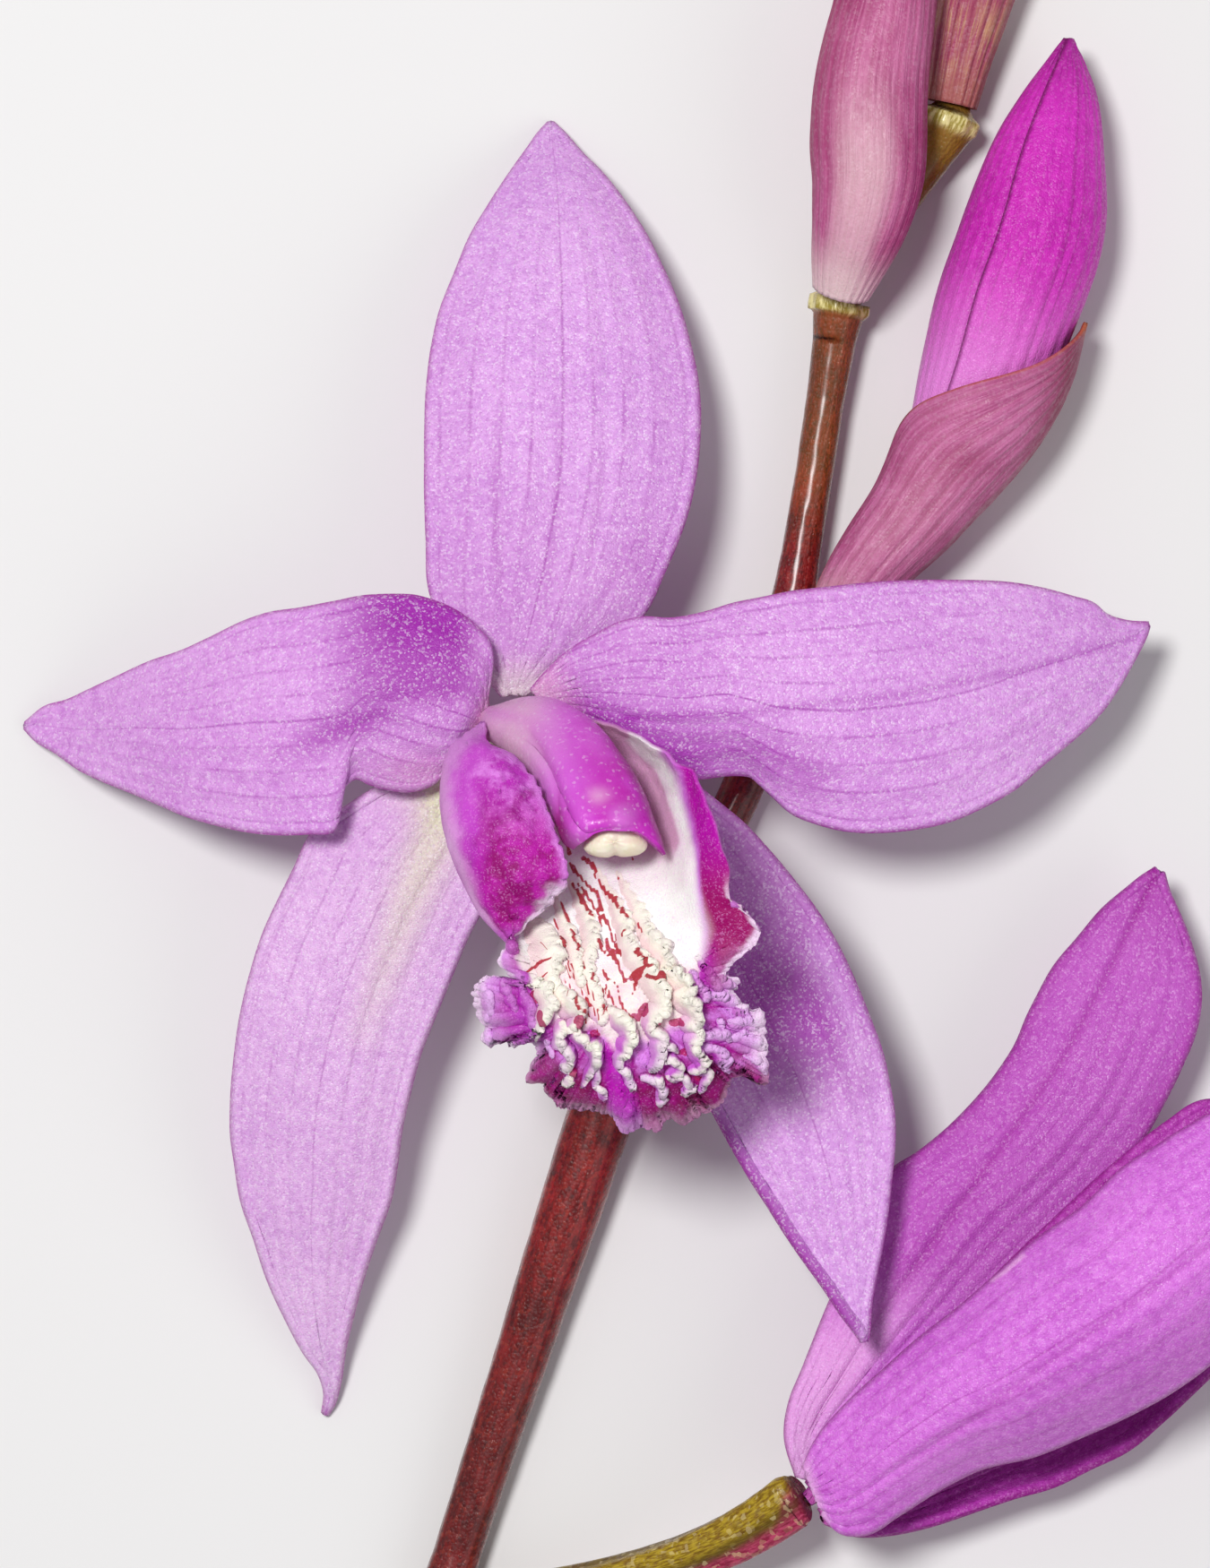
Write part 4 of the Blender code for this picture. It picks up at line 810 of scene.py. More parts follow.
def lip():
    s = np.concatenate([np.linspace(0, 0.48, 101), np.linspace(0.48, 1, 221)[1:]])
    rows, cols = len(s), 241
    a = np.array([catmull(LIP_NET[:, j].reshape(len(LIP_NET), 3), s, np.linspace(0, 1, len(LIP_NET))) for j in range(9)])
    x = np.linspace(0, 1, cols)
    g = np.array([catmull(a[:, i], x, np.linspace(0, 1, 9)) for i in range(rows)])
    S = s[:, None] * np.ones(cols)
    X = np.ones(rows)[:, None] * x
    T = 2 * X - 1
    U, V, H = g[..., 0].copy(), g[..., 1].copy(), g[..., 2].copy()
    front = smooth(S, 0.52, 0.62)
    # the front lobe is drawn out to its own frilled outline
    i0 = int(np.searchsorted(s, 0.56))
    net_edge = np.concatenate([g[i0:, 0, :2], g[-1, 1:-1, :2], g[i0:, -1, :2][::-1]])
    ang_n, r_n = bearings(net_edge)
    ang_m, r_m = bearings(FRONT_EDGE)
    ang, r = reach(U, V)
    rn, rm = np.interp(ang, ang_n, r_n), np.interp(ang, ang_m, r_m)
    q = np.clip(r / rn, 0, 1.2)
    pull = 1 + (rm / rn - 1) * smooth(q, 0.50, 1.0) * smooth(V, 1062, 1096)
    near = np.clip(np.minimum((1 - np.abs(T)) * 5.0, (1 - S) * 9.0), 0, 1)
    rimw = np.exp(-((near * 1.7) ** 2))
    fray = (noise2(ang * 34, q * 0.5, 5) - 0.5) * 2 + (noise2(ang * 70, q * 0.5, 8) - 0.5)
    pull = pull * (1 + 0.022 * fray * rimw * front)
    U = FRONT_MID[0] + (U - FRONT_MID[0]) * pull
    V = FRONT_MID[1] + (V - FRONT_MID[1]) * pull
    rag = (noise2(S * 75, 2.5 + 0 * S, 15) - 0.5) * 2 + (noise2(S * 190, 1.5 + 0 * S, 18) - 0.5)
    U = U + rimw * (1 - front) * smooth(S, 0.04, 0.12) * rag * 3.2 * np.sign(T)
    V = V + rimw * (1 - front) * smooth(S, 0.30, 0.4) * rag * 1.5
    H = H + rimw * (1 - front) * rag * 0.10
    # the right side lobe, with its wing
    lobe_edge = np.array([(692, 811), (715, 821), (733, 832), (744, 840), (752, 851), (759, 855), (771, 859), (776, 873), (785, 888), (791, 903),
                          (798, 920), (804, 940), (811, 959), (815, 972), (813, 990), (815, 1005), (824, 1013), (835, 1021), (843, 1030),
                          (849, 1040), (844, 1053), (832, 1064), (817, 1075), (802, 1080), (802, 1090)], float)
    want = np.interp(V[:, -1:], lobe_edge[:, 1], lobe_edge[:, 0])
    U = U + (want - U[:, -1:]) * smooth(T, 0.45, 1.0) * smooth(S, 0.10, 0.18) * smooth(0.585 - S, 0.0, 0.03)
    # ruffles that run out to the front lobe's rim
    ray = noise2(ang * 11 + 3, q * 1.6, 40)
    ridge = 1 - np.abs(2 * ray - 1)
    ray2 = noise2(ang * 24 + 9, q * 2.5, 44)
    ridge2 = 1 - np.abs(2 * ray2 - 1)
    ruffle = smooth(q, 0.62, 0.95) * front
    H = H + ruffle * (0.32 * (ridge - 0.55) + 0.30 * (ridge2 - 0.55))
    middle = smooth(T, -0.52, -0.40) * smooth(-T, -0.72, -0.55)
    middle = np.maximum(middle, front)
    crest, cream, lean, fold, red, blot = (np.zeros_like(S) for _ in range(6))
    box = (U > 520) & (U < 865) & (V > 930) & (V < 1270)
    jag = 4.0 * (noise2(U / 7.5, V / 7.5, 21) - 0.5), 4.0 * (noise2(U / 7.5, V / 7.5, 33) - 0.5)
    bu, bv = (U + jag[0])[box], (V + jag[1])[box]
    up1, body1, lean1 = plates(bu, bv, PLATES, 0.0)
    up2, body2, lean2 = plates(bu, bv, FOLDS, 2.0)
    up2 = np.where(body1 > 0.5, 0, up2)
    up2 = 0.6 * up2
    up1 = up1 * (0.40 + 0.60 * smooth(bv, 1000, 1072)) * (1 - 0.35 * smooth(bv, 1172, 1200))
    crest[box], cream[box], lean[box] = np.maximum(up1, up2), body1, np.where(body1 > 0.3, lean1, lean2)
    fold[box] = np.where(body1 > 0.5, 0, body2)
    br, bp = np.zeros_like(bu), np.zeros_like(bu)
    for line in DASHES:
        line = np.array(line, float)
        d, where, _ = to_line(U[box], V[box], line[:, :2])
        seg = np.concatenate([[0], np.cumsum(np.linalg.norm(np.diff(line[:, :2], axis=0), axis=1))])
        wide = np.interp(where, seg / seg[-1], line[:, 2])
        br = np.maximum(br, smooth(wide - d, -0.5, 0.9))
    for u, v, a_, b_ in PATCHES:
        e = ((bu - u) / a_) ** 2 + ((bv - v) / b_) ** 2
        bp = np.maximum(bp, smooth(1.3 - e, 0, 0.7))
    red[box], blot[box] = br, bp
    crest, cream, red, blot, fold = crest * middle, cream * middle, red * middle, blot * middle, fold * front
    crinkle = (fractal(U / 13, V / 13, 4, 2) - 0.5) * front * (1 - cream) * smooth(V, 1070, 1120)
    crest = crest + 0.24 * crinkle
    crest = crest + 0.34 * (fractal(U / 26, V / 26, 9, 2) - 0.5) * smooth(T, 0.20, 0.45) * (1 - front)
    lobe_l = smooth(-T, 0.42, 0.60) * smooth(0.585 - S, -0.02, 0.03)
    grain = (fractal(U / 5.5, V / 5.5, 52) - 0.5)
    crease = [(607, 884), (594, 886), (580, 891), (575, 902), (570, 912), (558, 920), (546, 927), (532, 941)]
    dc, wc, sc = to_line(U, V, crease)
    cut = np.exp(-((dc / 3.0) ** 2)) * (1 - 0.5 * wc)
    ribs = noise2((U - 0.6 * V) / 5.0, (0.6 * U + V) / 22.0, 71) - 0.5
    crest = crest + lobe_l * (0.22 * grain + 0.20 * ribs * smooth(S, 0.12, 0.25) - 0.22 * cut + 0.12 * smooth(-sc * dc, -10, 10))
    P = place(np.stack([U, V, H], -1))
    n = normals(P)
    if (n[rows // 2 :, cols // 2, 2]).mean() < 0:
        n = -n
    P = P + n * crest[..., None]
    # where colours change
    lobe_r = smooth(T, 0.40, 0.60) * smooth(0.64 - S, -0.06, 0.04)
    margin_line = [(744, 838), (762, 862), (773, 900), (779, 935), (784, 965), (785, 1000), (781, 1020), (774, 1040), (766, 1060), (762, 1084)]
    dm, wm, sm = to_line(U, V, margin_line)
    margin = lobe_r * smooth(-sm * dm, -15 - 12 * smooth(V, 960, 1040), 12)
    ridge_line = [(706, 822), (716, 836), (730, 850), (744, 870), (753, 894), (760, 916), (763, 940), (758, 960)]
    dr, wr, sr = to_line(U, V, ridge_line)
    # painted shadow of the column on the inner wall of the right side lobe
    painted_column_shadow = smooth(sr * dr, -1, 5) * smooth(962 - V, -10, 20) * smooth(T, 0.0, 0.25) * (1 - front)
    edge_u = np.interp(U, *PALE_TO) - V
    wob = 14 * (noise2(U / 11, V / 11, 61) - 0.5)
    pale = smooth(edge_u + wob, -10, 10)
    deep = smooth(V - np.interp(U, *DEEP_FROM) + wob, -12, 14) * front
    ton = [(680, 1172), (686, 1196), (690, 1220), (696, 1240), (702, 1262)]
    dt, wt, _ = to_line(U, V, ton)
    tongue = smooth(9 + 12 * wt - dt + 0.5 * wob, -5, 6) * front
    # inward from the left margin of the outer face
    left_out = [(536, 806), (513, 823), (503, 842), (494, 862), (492, 882), (495, 907), (501, 927), (509, 950), (521, 974), (529, 995), (537, 1019),
                (545, 1040), (554, 1058), (560, 1078)]
    dl, wl, _ = to_line(U, V, left_out)
    data = {
        "s": S, "t": T, "cream": cream, "lean": lean, "red": red, "blot": blot, "fold": fold, "pale": pale, "deep": deep, "tongue": tongue,
        "lobe_l": lobe_l, "lobe_r": lobe_r, "margin": margin, "front": front, "painted_column_shadow": painted_column_shadow, "rib": np.exp(-((dr / 3.5) ** 2)) * smooth(962 - V, 0, 10),
        "inward": dl / 60, "skirt": smooth(np.interp(V, [1020, 1045, 1070, 1092, 1110], [584, 578, 574, 586, 590]) - U, -4, 4)
        * smooth(V, 1030, 1044) * smooth(1098 - V, 0, 8), "cut": cut * lobe_l, "ridge": ridge * 0.6 + ridge2 * 0.4,
        "edge": np.minimum((1 - np.abs(T)) * 2.2, (1 - S) * 5.0), "px": U / 10, "py": V / 10,
    }
    th = 0.30 - 0.10 * np.exp(-data["edge"] / 0.3)
    return P, th, data


def lip_material():
    m = Mat("lip_tissue", rough=0.40, sss=0.08, spec=0.22, sheen=0.0)
    A = m.attr
    fine = m.noise(1500.0, 3.0, 0.6)
    wide = m.noise(420.0, 3.0, 0.6)
    dist, rnd, rnd2 = m.cells(13000.0)
    both = m.op("ADD", m.mul(wide, 0.5), m.mul(fine, 0.5))
    # the inside of the trough
    white = m.mix(m.step(wide, 0.35, 0.65), srgb(255, 253, 250), srgb(250, 240, 242))
    col = m.mix(m.mul(m.step(A("py"), 97.0, 90.0), m.step(A("t"), 0.40, 0.25), 0.7), white, srgb(226, 176, 196))
    # painted shadow of the column, pinkish grey, on the inner wall beside it
    col = m.mix(m.mul(A("painted_column_shadow"), 0.9), col, m.mix(m.step(wide, 0.3, 0.7), srgb(204, 138, 178), srgb(216, 156, 196)))
    col = m.mix(m.mul(A("rib"), m.step(fine, 0.25, 0.6), 0.7), col, srgb(246, 226, 240))
    # floor between the plates: pale above, lilac and magenta below, crimson at the front
    ground = m.mix(m.step(both, 0.36, 0.64), srgb(253, 245, 238), srgb(242, 214, 220))
    lilac = m.mix(m.step(m.op("ADD", A("ridge"), m.mul(m.op("SUBTRACT", both, 0.5), 0.6)), 0.35, 0.85), srgb(170, 12, 154), srgb(222, 136, 232))
    lilac = m.mix(m.mul(m.step(both, 0.55, 0.42), 0.55), lilac, srgb(168, 14, 140))
    lilac = m.mix(m.mul(m.step(A("px"), 54.8, 57.2), m.step(A("px"), 62.0, 60.0), m.step(both, 0.30, 0.60, 0.45, 0.85)), lilac, srgb(174, 22, 172))
    crimson = m.mix(m.step(both, 0.36, 0.62), srgb(136, 0, 84), srgb(166, 0, 128))
    lower = m.mix(A("deep"), lilac, crimson)
    lower = m.mix(m.mul(A("tongue"), 0.9), lower, m.mix(m.step(A("py"), 121.0, 126.0), srgb(192, 8, 184), srgb(206, 96, 214)))
    lobe = m.mix(A("pale"), lower, ground)
    col = m.mix(m.mul(A("front"), m.step(A("py"), 102.0, 108.0)), col, lobe)
    # plates: lilac on their low left sides is partly their own tint and partly painted shade, cream on their raised
    # right edges partly painted highlight
    inner = m.mix(m.step(A("py"), 111.0, 117.0), srgb(238, 212, 212), m.mix(m.step(both, 0.4, 0.6), srgb(204, 96, 208), srgb(222, 150, 224)))
    tilt = m.op("ADD", A("lean"), m.mul(m.op("SUBTRACT", both, 0.5), 0.7))
    rise = m.op("SUBTRACT", tilt, m.step(A("py"), 110.0, 118.0, 0.0, 0.20))
    keel = m.mix(m.step(rise, 0.18, 0.70), inner, m.mix(m.step(wide, 0.35, 0.7), srgb(255, 250, 234), m.mix(m.step(A("py"), 112.0, 119.0), srgb(248, 236, 228), srgb(236, 204, 236))))
    col = m.mix(m.step(A("cream"), 0.30, 0.70), col, keel)
    # folds darker on their low side and paler on their raised side, partly their own tones and partly painted shade and
    # highlight
    fold = m.mix(m.step(tilt, 0.10, 0.80), srgb(190, 50, 186), srgb(232, 176, 238))
    fold = m.mix(m.mul(m.step(A("px"), 60.5, 59.0), m.step(A("px"), 54.6, 57.0), 0.7), fold, srgb(182, 40, 180))
    col = m.mix(m.mul(m.step(A("fold"), 0.30, 0.70), m.step(A("tongue"), 0.5, 0.1)), col, fold)
    col = m.mix(m.mul(m.step(A("blot"), 0.4, 0.7), 0.9), col, srgb(176, 8, 92))
    col = m.mix(m.mul(m.step(A("red"), 0.35, 0.75), 0.95), col, srgb(178, 22, 44))
    # right side lobe
    blend = m.op("ADD", A("margin"), m.mul(m.op("SUBTRACT", fine, 0.5), 0.22))
    band = m.mix(m.step(blend, 0.45, 0.80), srgb(206, 110, 212), m.mix(m.step(A("py"), 92.0, 101.0), srgb(186, 8, 170), srgb(158, 0, 100)))
    band = m.mix(m.mul(m.step(A("py"), 103.0, 107.5), m.step(A("px"), 81.0, 78.0)), band, srgb(186, 40, 180))
    band = m.mix(m.mul(m.step(A("edge"), 0.22, 0.06), m.step(A("py"), 100.0, 105.0)), band, srgb(226, 150, 222))
    col = m.mix(m.mul(A("lobe_r"), m.step(blend, 0.02, 0.55), m.step(A("cream"), 0.6, 0.3)), col, band)
    # outer face of the left side lobe
    far = m.op("ADD", A("inward"), m.mul(m.op("SUBTRACT", fine, 0.5), 0.35))
    far = m.op("SUBTRACT", far, m.step(A("py"), 92.0, 100.0, 0.0, -0.5))
    violet = m.mix(m.step(A("py"), 90.0, 99.0), srgb(204, 72, 206), srgb(172, 6, 164))
    ruby = m.mix(m.step(both, 0.40, 0.60), srgb(148, 0, 110), srgb(188, 26, 166))
    ruby = m.mix(m.step(A("py"), 86.0, 95.0), m.mix(m.step(both, 0.40, 0.60), srgb(190, 44, 186), srgb(226, 130, 230)), ruby)
    outer = m.mix(m.step(far, 0.06, 0.42), srgb(220, 142, 220), violet)
    outer = m.mix(m.step(far, 0.45, 0.80), outer, ruby)
    outer = m.mix(m.mul(A("cut"), 0.7), outer, srgb(140, 0, 110))
    outer = m.mix(m.mul(m.step(A("edge"), 0.12, 0.02), m.step(A("s"), 0.10, 0.2)), outer, srgb(214, 120, 214))
    col = m.mix(A("lobe_l"), col, outer)
    col = m.mix(m.mul(A("skirt"), 0.9), col, m.mix(m.step(both, 0.4, 0.6), srgb(172, 14, 160), srgb(206, 96, 212)))
    # pale frilled rim
    rim = m.mul(m.step(m.op("ADD", A("edge"), m.mul(m.op("SUBTRACT", fine, 0.5), 0.3)), 0.30, 0.08), m.step(A("s"), 0.42, 0.47), m.step(A("deep"), 1.0, 0.0, 0.35, 1.0))
    frills = m.mul(m.step(m.op("ADD", A("edge"), m.mul(m.op("SUBTRACT", both, 0.5), 0.9)), 0.85, 0.15), A("front"), m.step(A("py"), 121.0, 117.0), m.step(A("cream"), 0.5, 0.2))
    col = m.mix(m.mul(frills, m.step(A("ridge"), 0.30, 0.75), 0.60), col, srgb(228, 176, 236))
    col = m.mix(m.mul(rim, 0.9), col, srgb(242, 216, 240))
    # painted glints on the lip's cells, kept off the plates; darker cells scattered as random tone
    spark = m.op("SUBTRACT", 1.0, m.mul(A("cream"), 0.8), clamp=True)
    col = m.mix(m.mul(m.step(rnd, 0.72, 1.0), 0.22, spark), col, (1.0, 0.42, 0.95, 1.0))
    col = m.mix(m.mul(m.step(rnd2, 0.45, 0.0), 0.25, spark, m.op("SUBTRACT", 1.0, m.mul(A("pale"), 0.8))), col, srgb(110, 0, 90))
    # the underside: lilac
    under = m.mix(m.step(wide, 0.35, 0.65), srgb(205, 120, 205), srgb(182, 74, 180))
    lobe_face = m.op("ADD", A("lobe_l"), A("face"), clamp=True)
    col = m.mix(m.op("SUBTRACT", 1.0, lobe_face, clamp=True), col, under)
    nrm = m.bump(m.op("SUBTRACT", 1.0, dist), 0.5, 0.00005)
    nrm = m.bump(fine, 0.35, 0.00015, nrm)
    return m.done(col, nrm, m.step(rnd, 0.0, 1.0, 0.54, 0.28))


LIP = lip_material()
P, th, data = lip()
shell("lip_leaf", P, th, data, LIP, ["lip"], coarse_back=True)


# ------------------------------------------------------------ the column and its cap
def column():
    left = [(539, 803), (541, 821), (558, 831), (578, 846), (592, 862), (605, 882), (611, 893), (617, 907), (625, 927), (632, 944), (641, 950)]
    right = [(556, 793), (580, 782), (601, 780), (617, 782), (633, 789), (648, 798), (660, 807), (674, 821), (688, 840),
             (701, 858), (711, 876), (719, 893), (727, 915), (735, 933), (741, 951)]
    rows, cols = 120, 71
    s = even(rows, 0.1)
    l, r = catmull(left, s), catmull(right, s)
    t = np.sin(np.linspace(-1, 1, cols) * math.pi / 2)
    S, T = np.meshgrid(s, t, indexing="ij")
    w = (T + 1) / 2
    uv = l[:, None] * (1 - w[..., None]) + r[:, None] * w[..., None]
    # the tip is notched for the cap
    notch = smooth(S, 0.80, 1.0) * (1 - np.abs(T + 0.05) ** 2.4)
    uv[..., 1] -= 25 * notch
    hm = catmull([10.6, 13.2, 16.0, 18.4, 20.2, 21.4, 22.0, 22.0], s)[:, 0]
    drop = catmull([0.9, 1.3, 1.6, 1.9, 2.1, 2.1, 1.8, 1.4], s)[:, 0]
    h = hm[:, None] - drop[:, None] * (1 - np.sqrt(np.clip(1 - 0.92 * T**2, 0, 1)))
    crease = np.exp(-(((T + 0.45 + 0.12 * S) / 0.09) ** 2)) * smooth(S, 0.2, 0.5) * smooth(1 - S, 0, 0.1)
    h = h - 0.22 * crease
    cu, cv = uv[..., 0], uv[..., 1]
    bump = np.exp(-(((cu - 693) / 12) ** 2 + ((cv - 914) / 12) ** 2))
    h = h + 0.25 * bump
    d2, w2, _ = to_line(cu, cv, [(588, 811), (600, 826), (613, 842), (622, 862), (627, 884), (630, 906)])
    line2 = np.exp(-((d2 / 5.0) ** 2)) * smooth(w2, 0.0, 0.3)
    d3, w3, s3 = to_line(cu, cv, [(604, 806), (618, 828), (633, 856), (642, 884), (648, 910), (648, 936)])
    line3 = np.exp(-((d3 / 9.0) ** 2)) * smooth(w3, 0.0, 0.3)
    pit = np.exp(-(((cu - 628) / 9) ** 2 + ((cv - 926) / 20) ** 2))
    lobe = np.exp(-(((cu - 644) / 9) ** 2 + ((cv - 938) / 12) ** 2))
    spot = np.exp(-(((cu - 668) / 12) ** 2 + ((cv - 893) / 9) ** 2))
    h = h - 0.16 * line2 + 0.22 * line3 - 0.30 * pit + 0.10 * lobe
    P = place(np.concatenate([uv, h[..., None]], -1))
    data = {"s": S, "t": T, "crease": np.maximum(0.3 * crease, 0.45 * line2), "knob": np.maximum(bump, 0.8 * lobe), "pit": pit, "spot": spot,
            "pale": smooth(610 - cu, -35, 30) * smooth(905 - cv, 0, 60), "band": line3}
    th = 0.85 - 0.55 * np.abs(T) ** 3
    return P, th * (1 - 0.35 * smooth(S, 0.85, 1.0)), data


def column_material():
    m = Mat("column_tissue", rough=0.36, sss=0.1, spec=0.28, coat=0.08, coat_rough=0.3)
    s, t = m.attr("s"), m.attr("t")
    wide = m.noise(330.0, 3.0, 0.6)
    fine = m.noise(1600.0, 3.0, 0.6)
    pale = m.mix(m.step(wide, 0.3, 0.7), srgb(226, 182, 206), srgb(216, 160, 202))
    deep = m.mix(m.step(wide, 0.3, 0.7), srgb(188, 20, 168), srgb(208, 66, 204))
    run = m.op("ADD", m.op("ADD", s, m.mul(t, 0.30)), m.mul(m.op("SUBTRACT", wide, 0.5), 0.22))
    mid = m.mix(m.step(wide, 0.3, 0.7), srgb(206, 74, 206), srgb(220, 118, 222))
    col = m.mix(m.step(run, 0.34, 0.92), mid, deep)
    col = m.mix(m.mul(m.attr("pale"), 0.92), col, pale)
    col = m.mix(m.mul(m.attr("band"), 0.40), col, srgb(212, 90, 214))
    col = m.mix(m.mul(m.attr("spot"), 0.55), col, srgb(232, 176, 214))
    col = m.mix(m.mul(m.step(m.op("ABSOLUTE", m.op("ADD", t, 0.05)), 0.42, 0.0), m.step(s, 0.85, 0.25), 0.35), col, srgb(214, 110, 206))
    # painted shade in the crease, along both side edges and in the pit
    col = m.mix(m.mul(m.attr("crease"), 0.65), col, srgb(150, 6, 120))
    col = m.mix(m.mul(m.step(t, -0.60, -0.98), m.step(s, 0.55, 0.95), 0.9), col, srgb(130, 0, 96))
    col = m.mix(m.mul(m.step(t, 0.72, 1.0), m.step(s, 0.25, 0.7), 0.8), col, srgb(150, 0, 128))
    col = m.mix(m.mul(m.attr("pit"), 0.85), col, srgb(168, 0, 128))
    col = m.mix(m.mul(m.attr("knob"), 0.6), col, srgb(216, 126, 216))
    dist, rnd, rnd2 = m.cells(7000.0)
    col = m.mix(m.mul(m.step(rnd, 0.86, 1.0), 0.20), col, (1.0, 0.86, 1.0, 1.0))
    nrm = m.bump(m.op("SUBTRACT", 1.0, dist), 0.25, 0.00004)
    nrm = m.bump(fine, 0.2, 0.0001, nrm)
    return m.done(col, nrm, m.step(rnd, 0.0, 1.0, 0.44, 0.26))


COLUMN = column_material()
P, th, data = column()
shell("column_hood", P, th, data, COLUMN, ["column"])


def cap_material():
    m = Mat("cap_wax", rough=0.42, sss=0.25, spec=0.45)
    wide = m.noise(700.0, 3.0, 0.6)
    dist, rnd, rnd2 = m.cells(5200.0)
    col = m.mix(m.step(wide, 0.3, 0.7), srgb(250, 242, 220), srgb(238, 228, 196))
    col = m.mix(m.mul(m.step(rnd, 0.8, 1.0), 0.3), col, srgb(255, 252, 236))
    col = m.mix(m.mul(m.attr("groove"), 0.35), col, srgb(206, 176, 170))
    nrm = m.bump(m.op("SUBTRACT", 1.0, dist), 0.4, 0.00005)
    nrm = m.bump(wide, 0.4, 0.0002, nrm)
    return m.done(col, nrm)


def cap():
    rows, cols = 49, 72
    ph = np.linspace(0.0, math.pi, rows)[:, None]
    th = np.linspace(0, 2 * math.pi, cols, endpoint=False)[None]
    x, y, z = np.sin(ph) * np.cos(th), np.sin(ph) * np.sin(th), np.cos(ph) * np.ones_like(th)
    lobes = 1 - 0.16 * np.exp(-((x / 0.16) ** 2)) * smooth(-y, -0.9, 0.9) + 0.05 * np.cos(3 * th + 1.1)
    lobes = lobes + 0.10 * (fractal(x * 2.3 + 4, y * 2.3 + z, 3) - 0.5)
    c = place((686, 942, 20.75))
    P = c + np.stack([x * 1.52 * lobes, y * 0.80 * lobes + 0.10 * (1 - x * x), z * 0.95 * lobes], -1)
    ix = np.arange(rows * cols).reshape(rows, cols)
    nx = np.roll(ix, -1, axis=1)
    faces = np.stack([ix[:-1], ix[1:], nx[1:], nx[:-1]], -1)[1:-1].reshape(-1, 4).tolist()
    keep = np.unique(np.array(faces))
    co = P.reshape(-1, 3)
    groove = (np.exp(-((x / 0.14) ** 2)) * np.ones_like(x)).ravel()
    back = {int(o): k for k, o in enumerate(keep)}
    faces = [[back[i] for i in f] for f in faces]
    top = len(keep)
    faces += [[top, back[int(ix[1, k])], back[int(nx[1, k])]] for k in range(cols)]
    faces += [[top + 1, back[int(nx[-2, k])], back[int(ix[-2, k])]] for k in range(cols)]
    co = np.concatenate([co[keep], co[:1], co[-1:]])
    add_mesh("anther_cap_wax", co, faces, {"groove": np.concatenate([groove[keep], [0, 0]])}, cap_material(),
             ["anther_cap"])


cap()

# ------------------------------------------------------------ the side flower
def side_dorsal_extra(S, T, uv, h, data):
    u, v = uv[..., 0], uv[..., 1]
    d, where, side = to_line(u, v, [(901, 1598), (960, 1500), (1049, 1374), (1120, 1278), (1187, 1180), (1240, 1078), (1289, 976)])
    groove = np.exp(-((d / 6) ** 2))
    h = h - 0.16 * np.exp(-((d / 9) ** 2))
    low = smooth(v, 1400, 1530)
    data["shade"] = np.clip(0.45 * (1 - low) * smooth(S, 0.0, 0.2) + 0.30 * groove * (1 - 0.5 * low)
                            + 0.25 * smooth(S, 0.80, 1.0) + 0.30 * smooth(np.abs(T), 0.75, 1.0) * (1 - low), 0, 1)
    data["pale"] = 0.80 * low * smooth(0.55 - T, 0, 0.5)
    return uv, h, data


def side_near_extra(S, T, uv, h, data):
    u, v = uv[..., 0], uv[..., 1]
    d, where, side = to_line(u, v, [(952, 1670), (1074, 1588), (1176, 1516), (1268, 1450), (1350, 1389), (1440, 1320)])
    groove = np.exp(-((d / 5) ** 2)) * smooth(where, 0.05, 0.25)
    h = h - 0.12 * np.exp(-((d / 8) ** 2))
    data["shade"] = np.clip(0.30 * groove + 0.10 * smooth(T, 0.5, 1.0) + 0.22 * smooth(-T, 0.80, 1.0), 0, 1)
    d4, _, _ = to_line(u, v, [(1108, 1432), (1124, 1421), (1143, 1404)])
    data["pale"] = np.clip(0.9 * np.exp(-((d4 / 2.2) ** 2)), 0, 1)
    return uv, h, data


leaf("side_dorsal_sepal_leaf",
     [(889, 1647), (876, 1603), (882, 1562), (896, 1527), (916, 1476), (935, 1430), (962, 1365), (995, 1305),
      (1023, 1287), (1054, 1262), (1086, 1230), (1112, 1198), (1134, 1163), (1146, 1134), (1158, 1110),
      (1176, 1078), (1202, 1047), (1228, 1016), (1253, 994), (1277, 975), (1289, 968)],
     [(900, 1652), (935, 1602), (980, 1560), (1034, 1510), (1089, 1460), (1145, 1408), (1207, 1348),
      (1228, 1328), (1253, 1297), (1279, 1266), (1299, 1231), (1319, 1190), (1332, 1159), (1340, 1119),
      (1338, 1088), (1330, 1057), (1314, 1016), (1304, 994), (1299, 976)],
     [6.9, 6.8, 6.5, 6.3, 6.1, 5.8, 5.3, 4.6, 4.0], [0, -.6, -1.0, -1.2, -1.2, -1.0, -.8, -.5, 0],
     [0, -.3, -.3, -.4, -.5, -.6, -.6, -.4, 0], SIDE, "side_flower_dorsal_sepal", rows=170, cols=71, extra=side_dorsal_extra)
leaf("side_near_sepal_leaf",
     [(897, 1636), (912, 1606), (945, 1567), (983, 1532), (1023, 1496), (1069, 1460), (1115, 1420), (1156, 1384),
      (1207, 1348), (1258, 1300), (1294, 1277), (1324, 1258), (1352, 1243), (1388, 1236), (1424, 1240),
      (1455, 1262), (1472, 1284)],
     [(921, 1692), (940, 1711), (965, 1712), (1003, 1690), (1048, 1662), (1092, 1640), (1156, 1624), (1207, 1603),
      (1258, 1580), (1309, 1552), (1350, 1522), (1390, 1482), (1425, 1432), (1452, 1374), (1470, 1322), (1477, 1294)],
     [8.8, 10.8, 12.4, 13.4, 13.9, 13.8, 13.0, 11.4], [0, -1.6, -2.4, -2.8, -2.8, -2.4, -1.4, 0],
     [0, -2.6, -4.0, -4.6, -4.6, -3.8, -2.2, 0], SIDE, "side_flower_near_sepal", rows=170, cols=81, extra=side_near_extra)
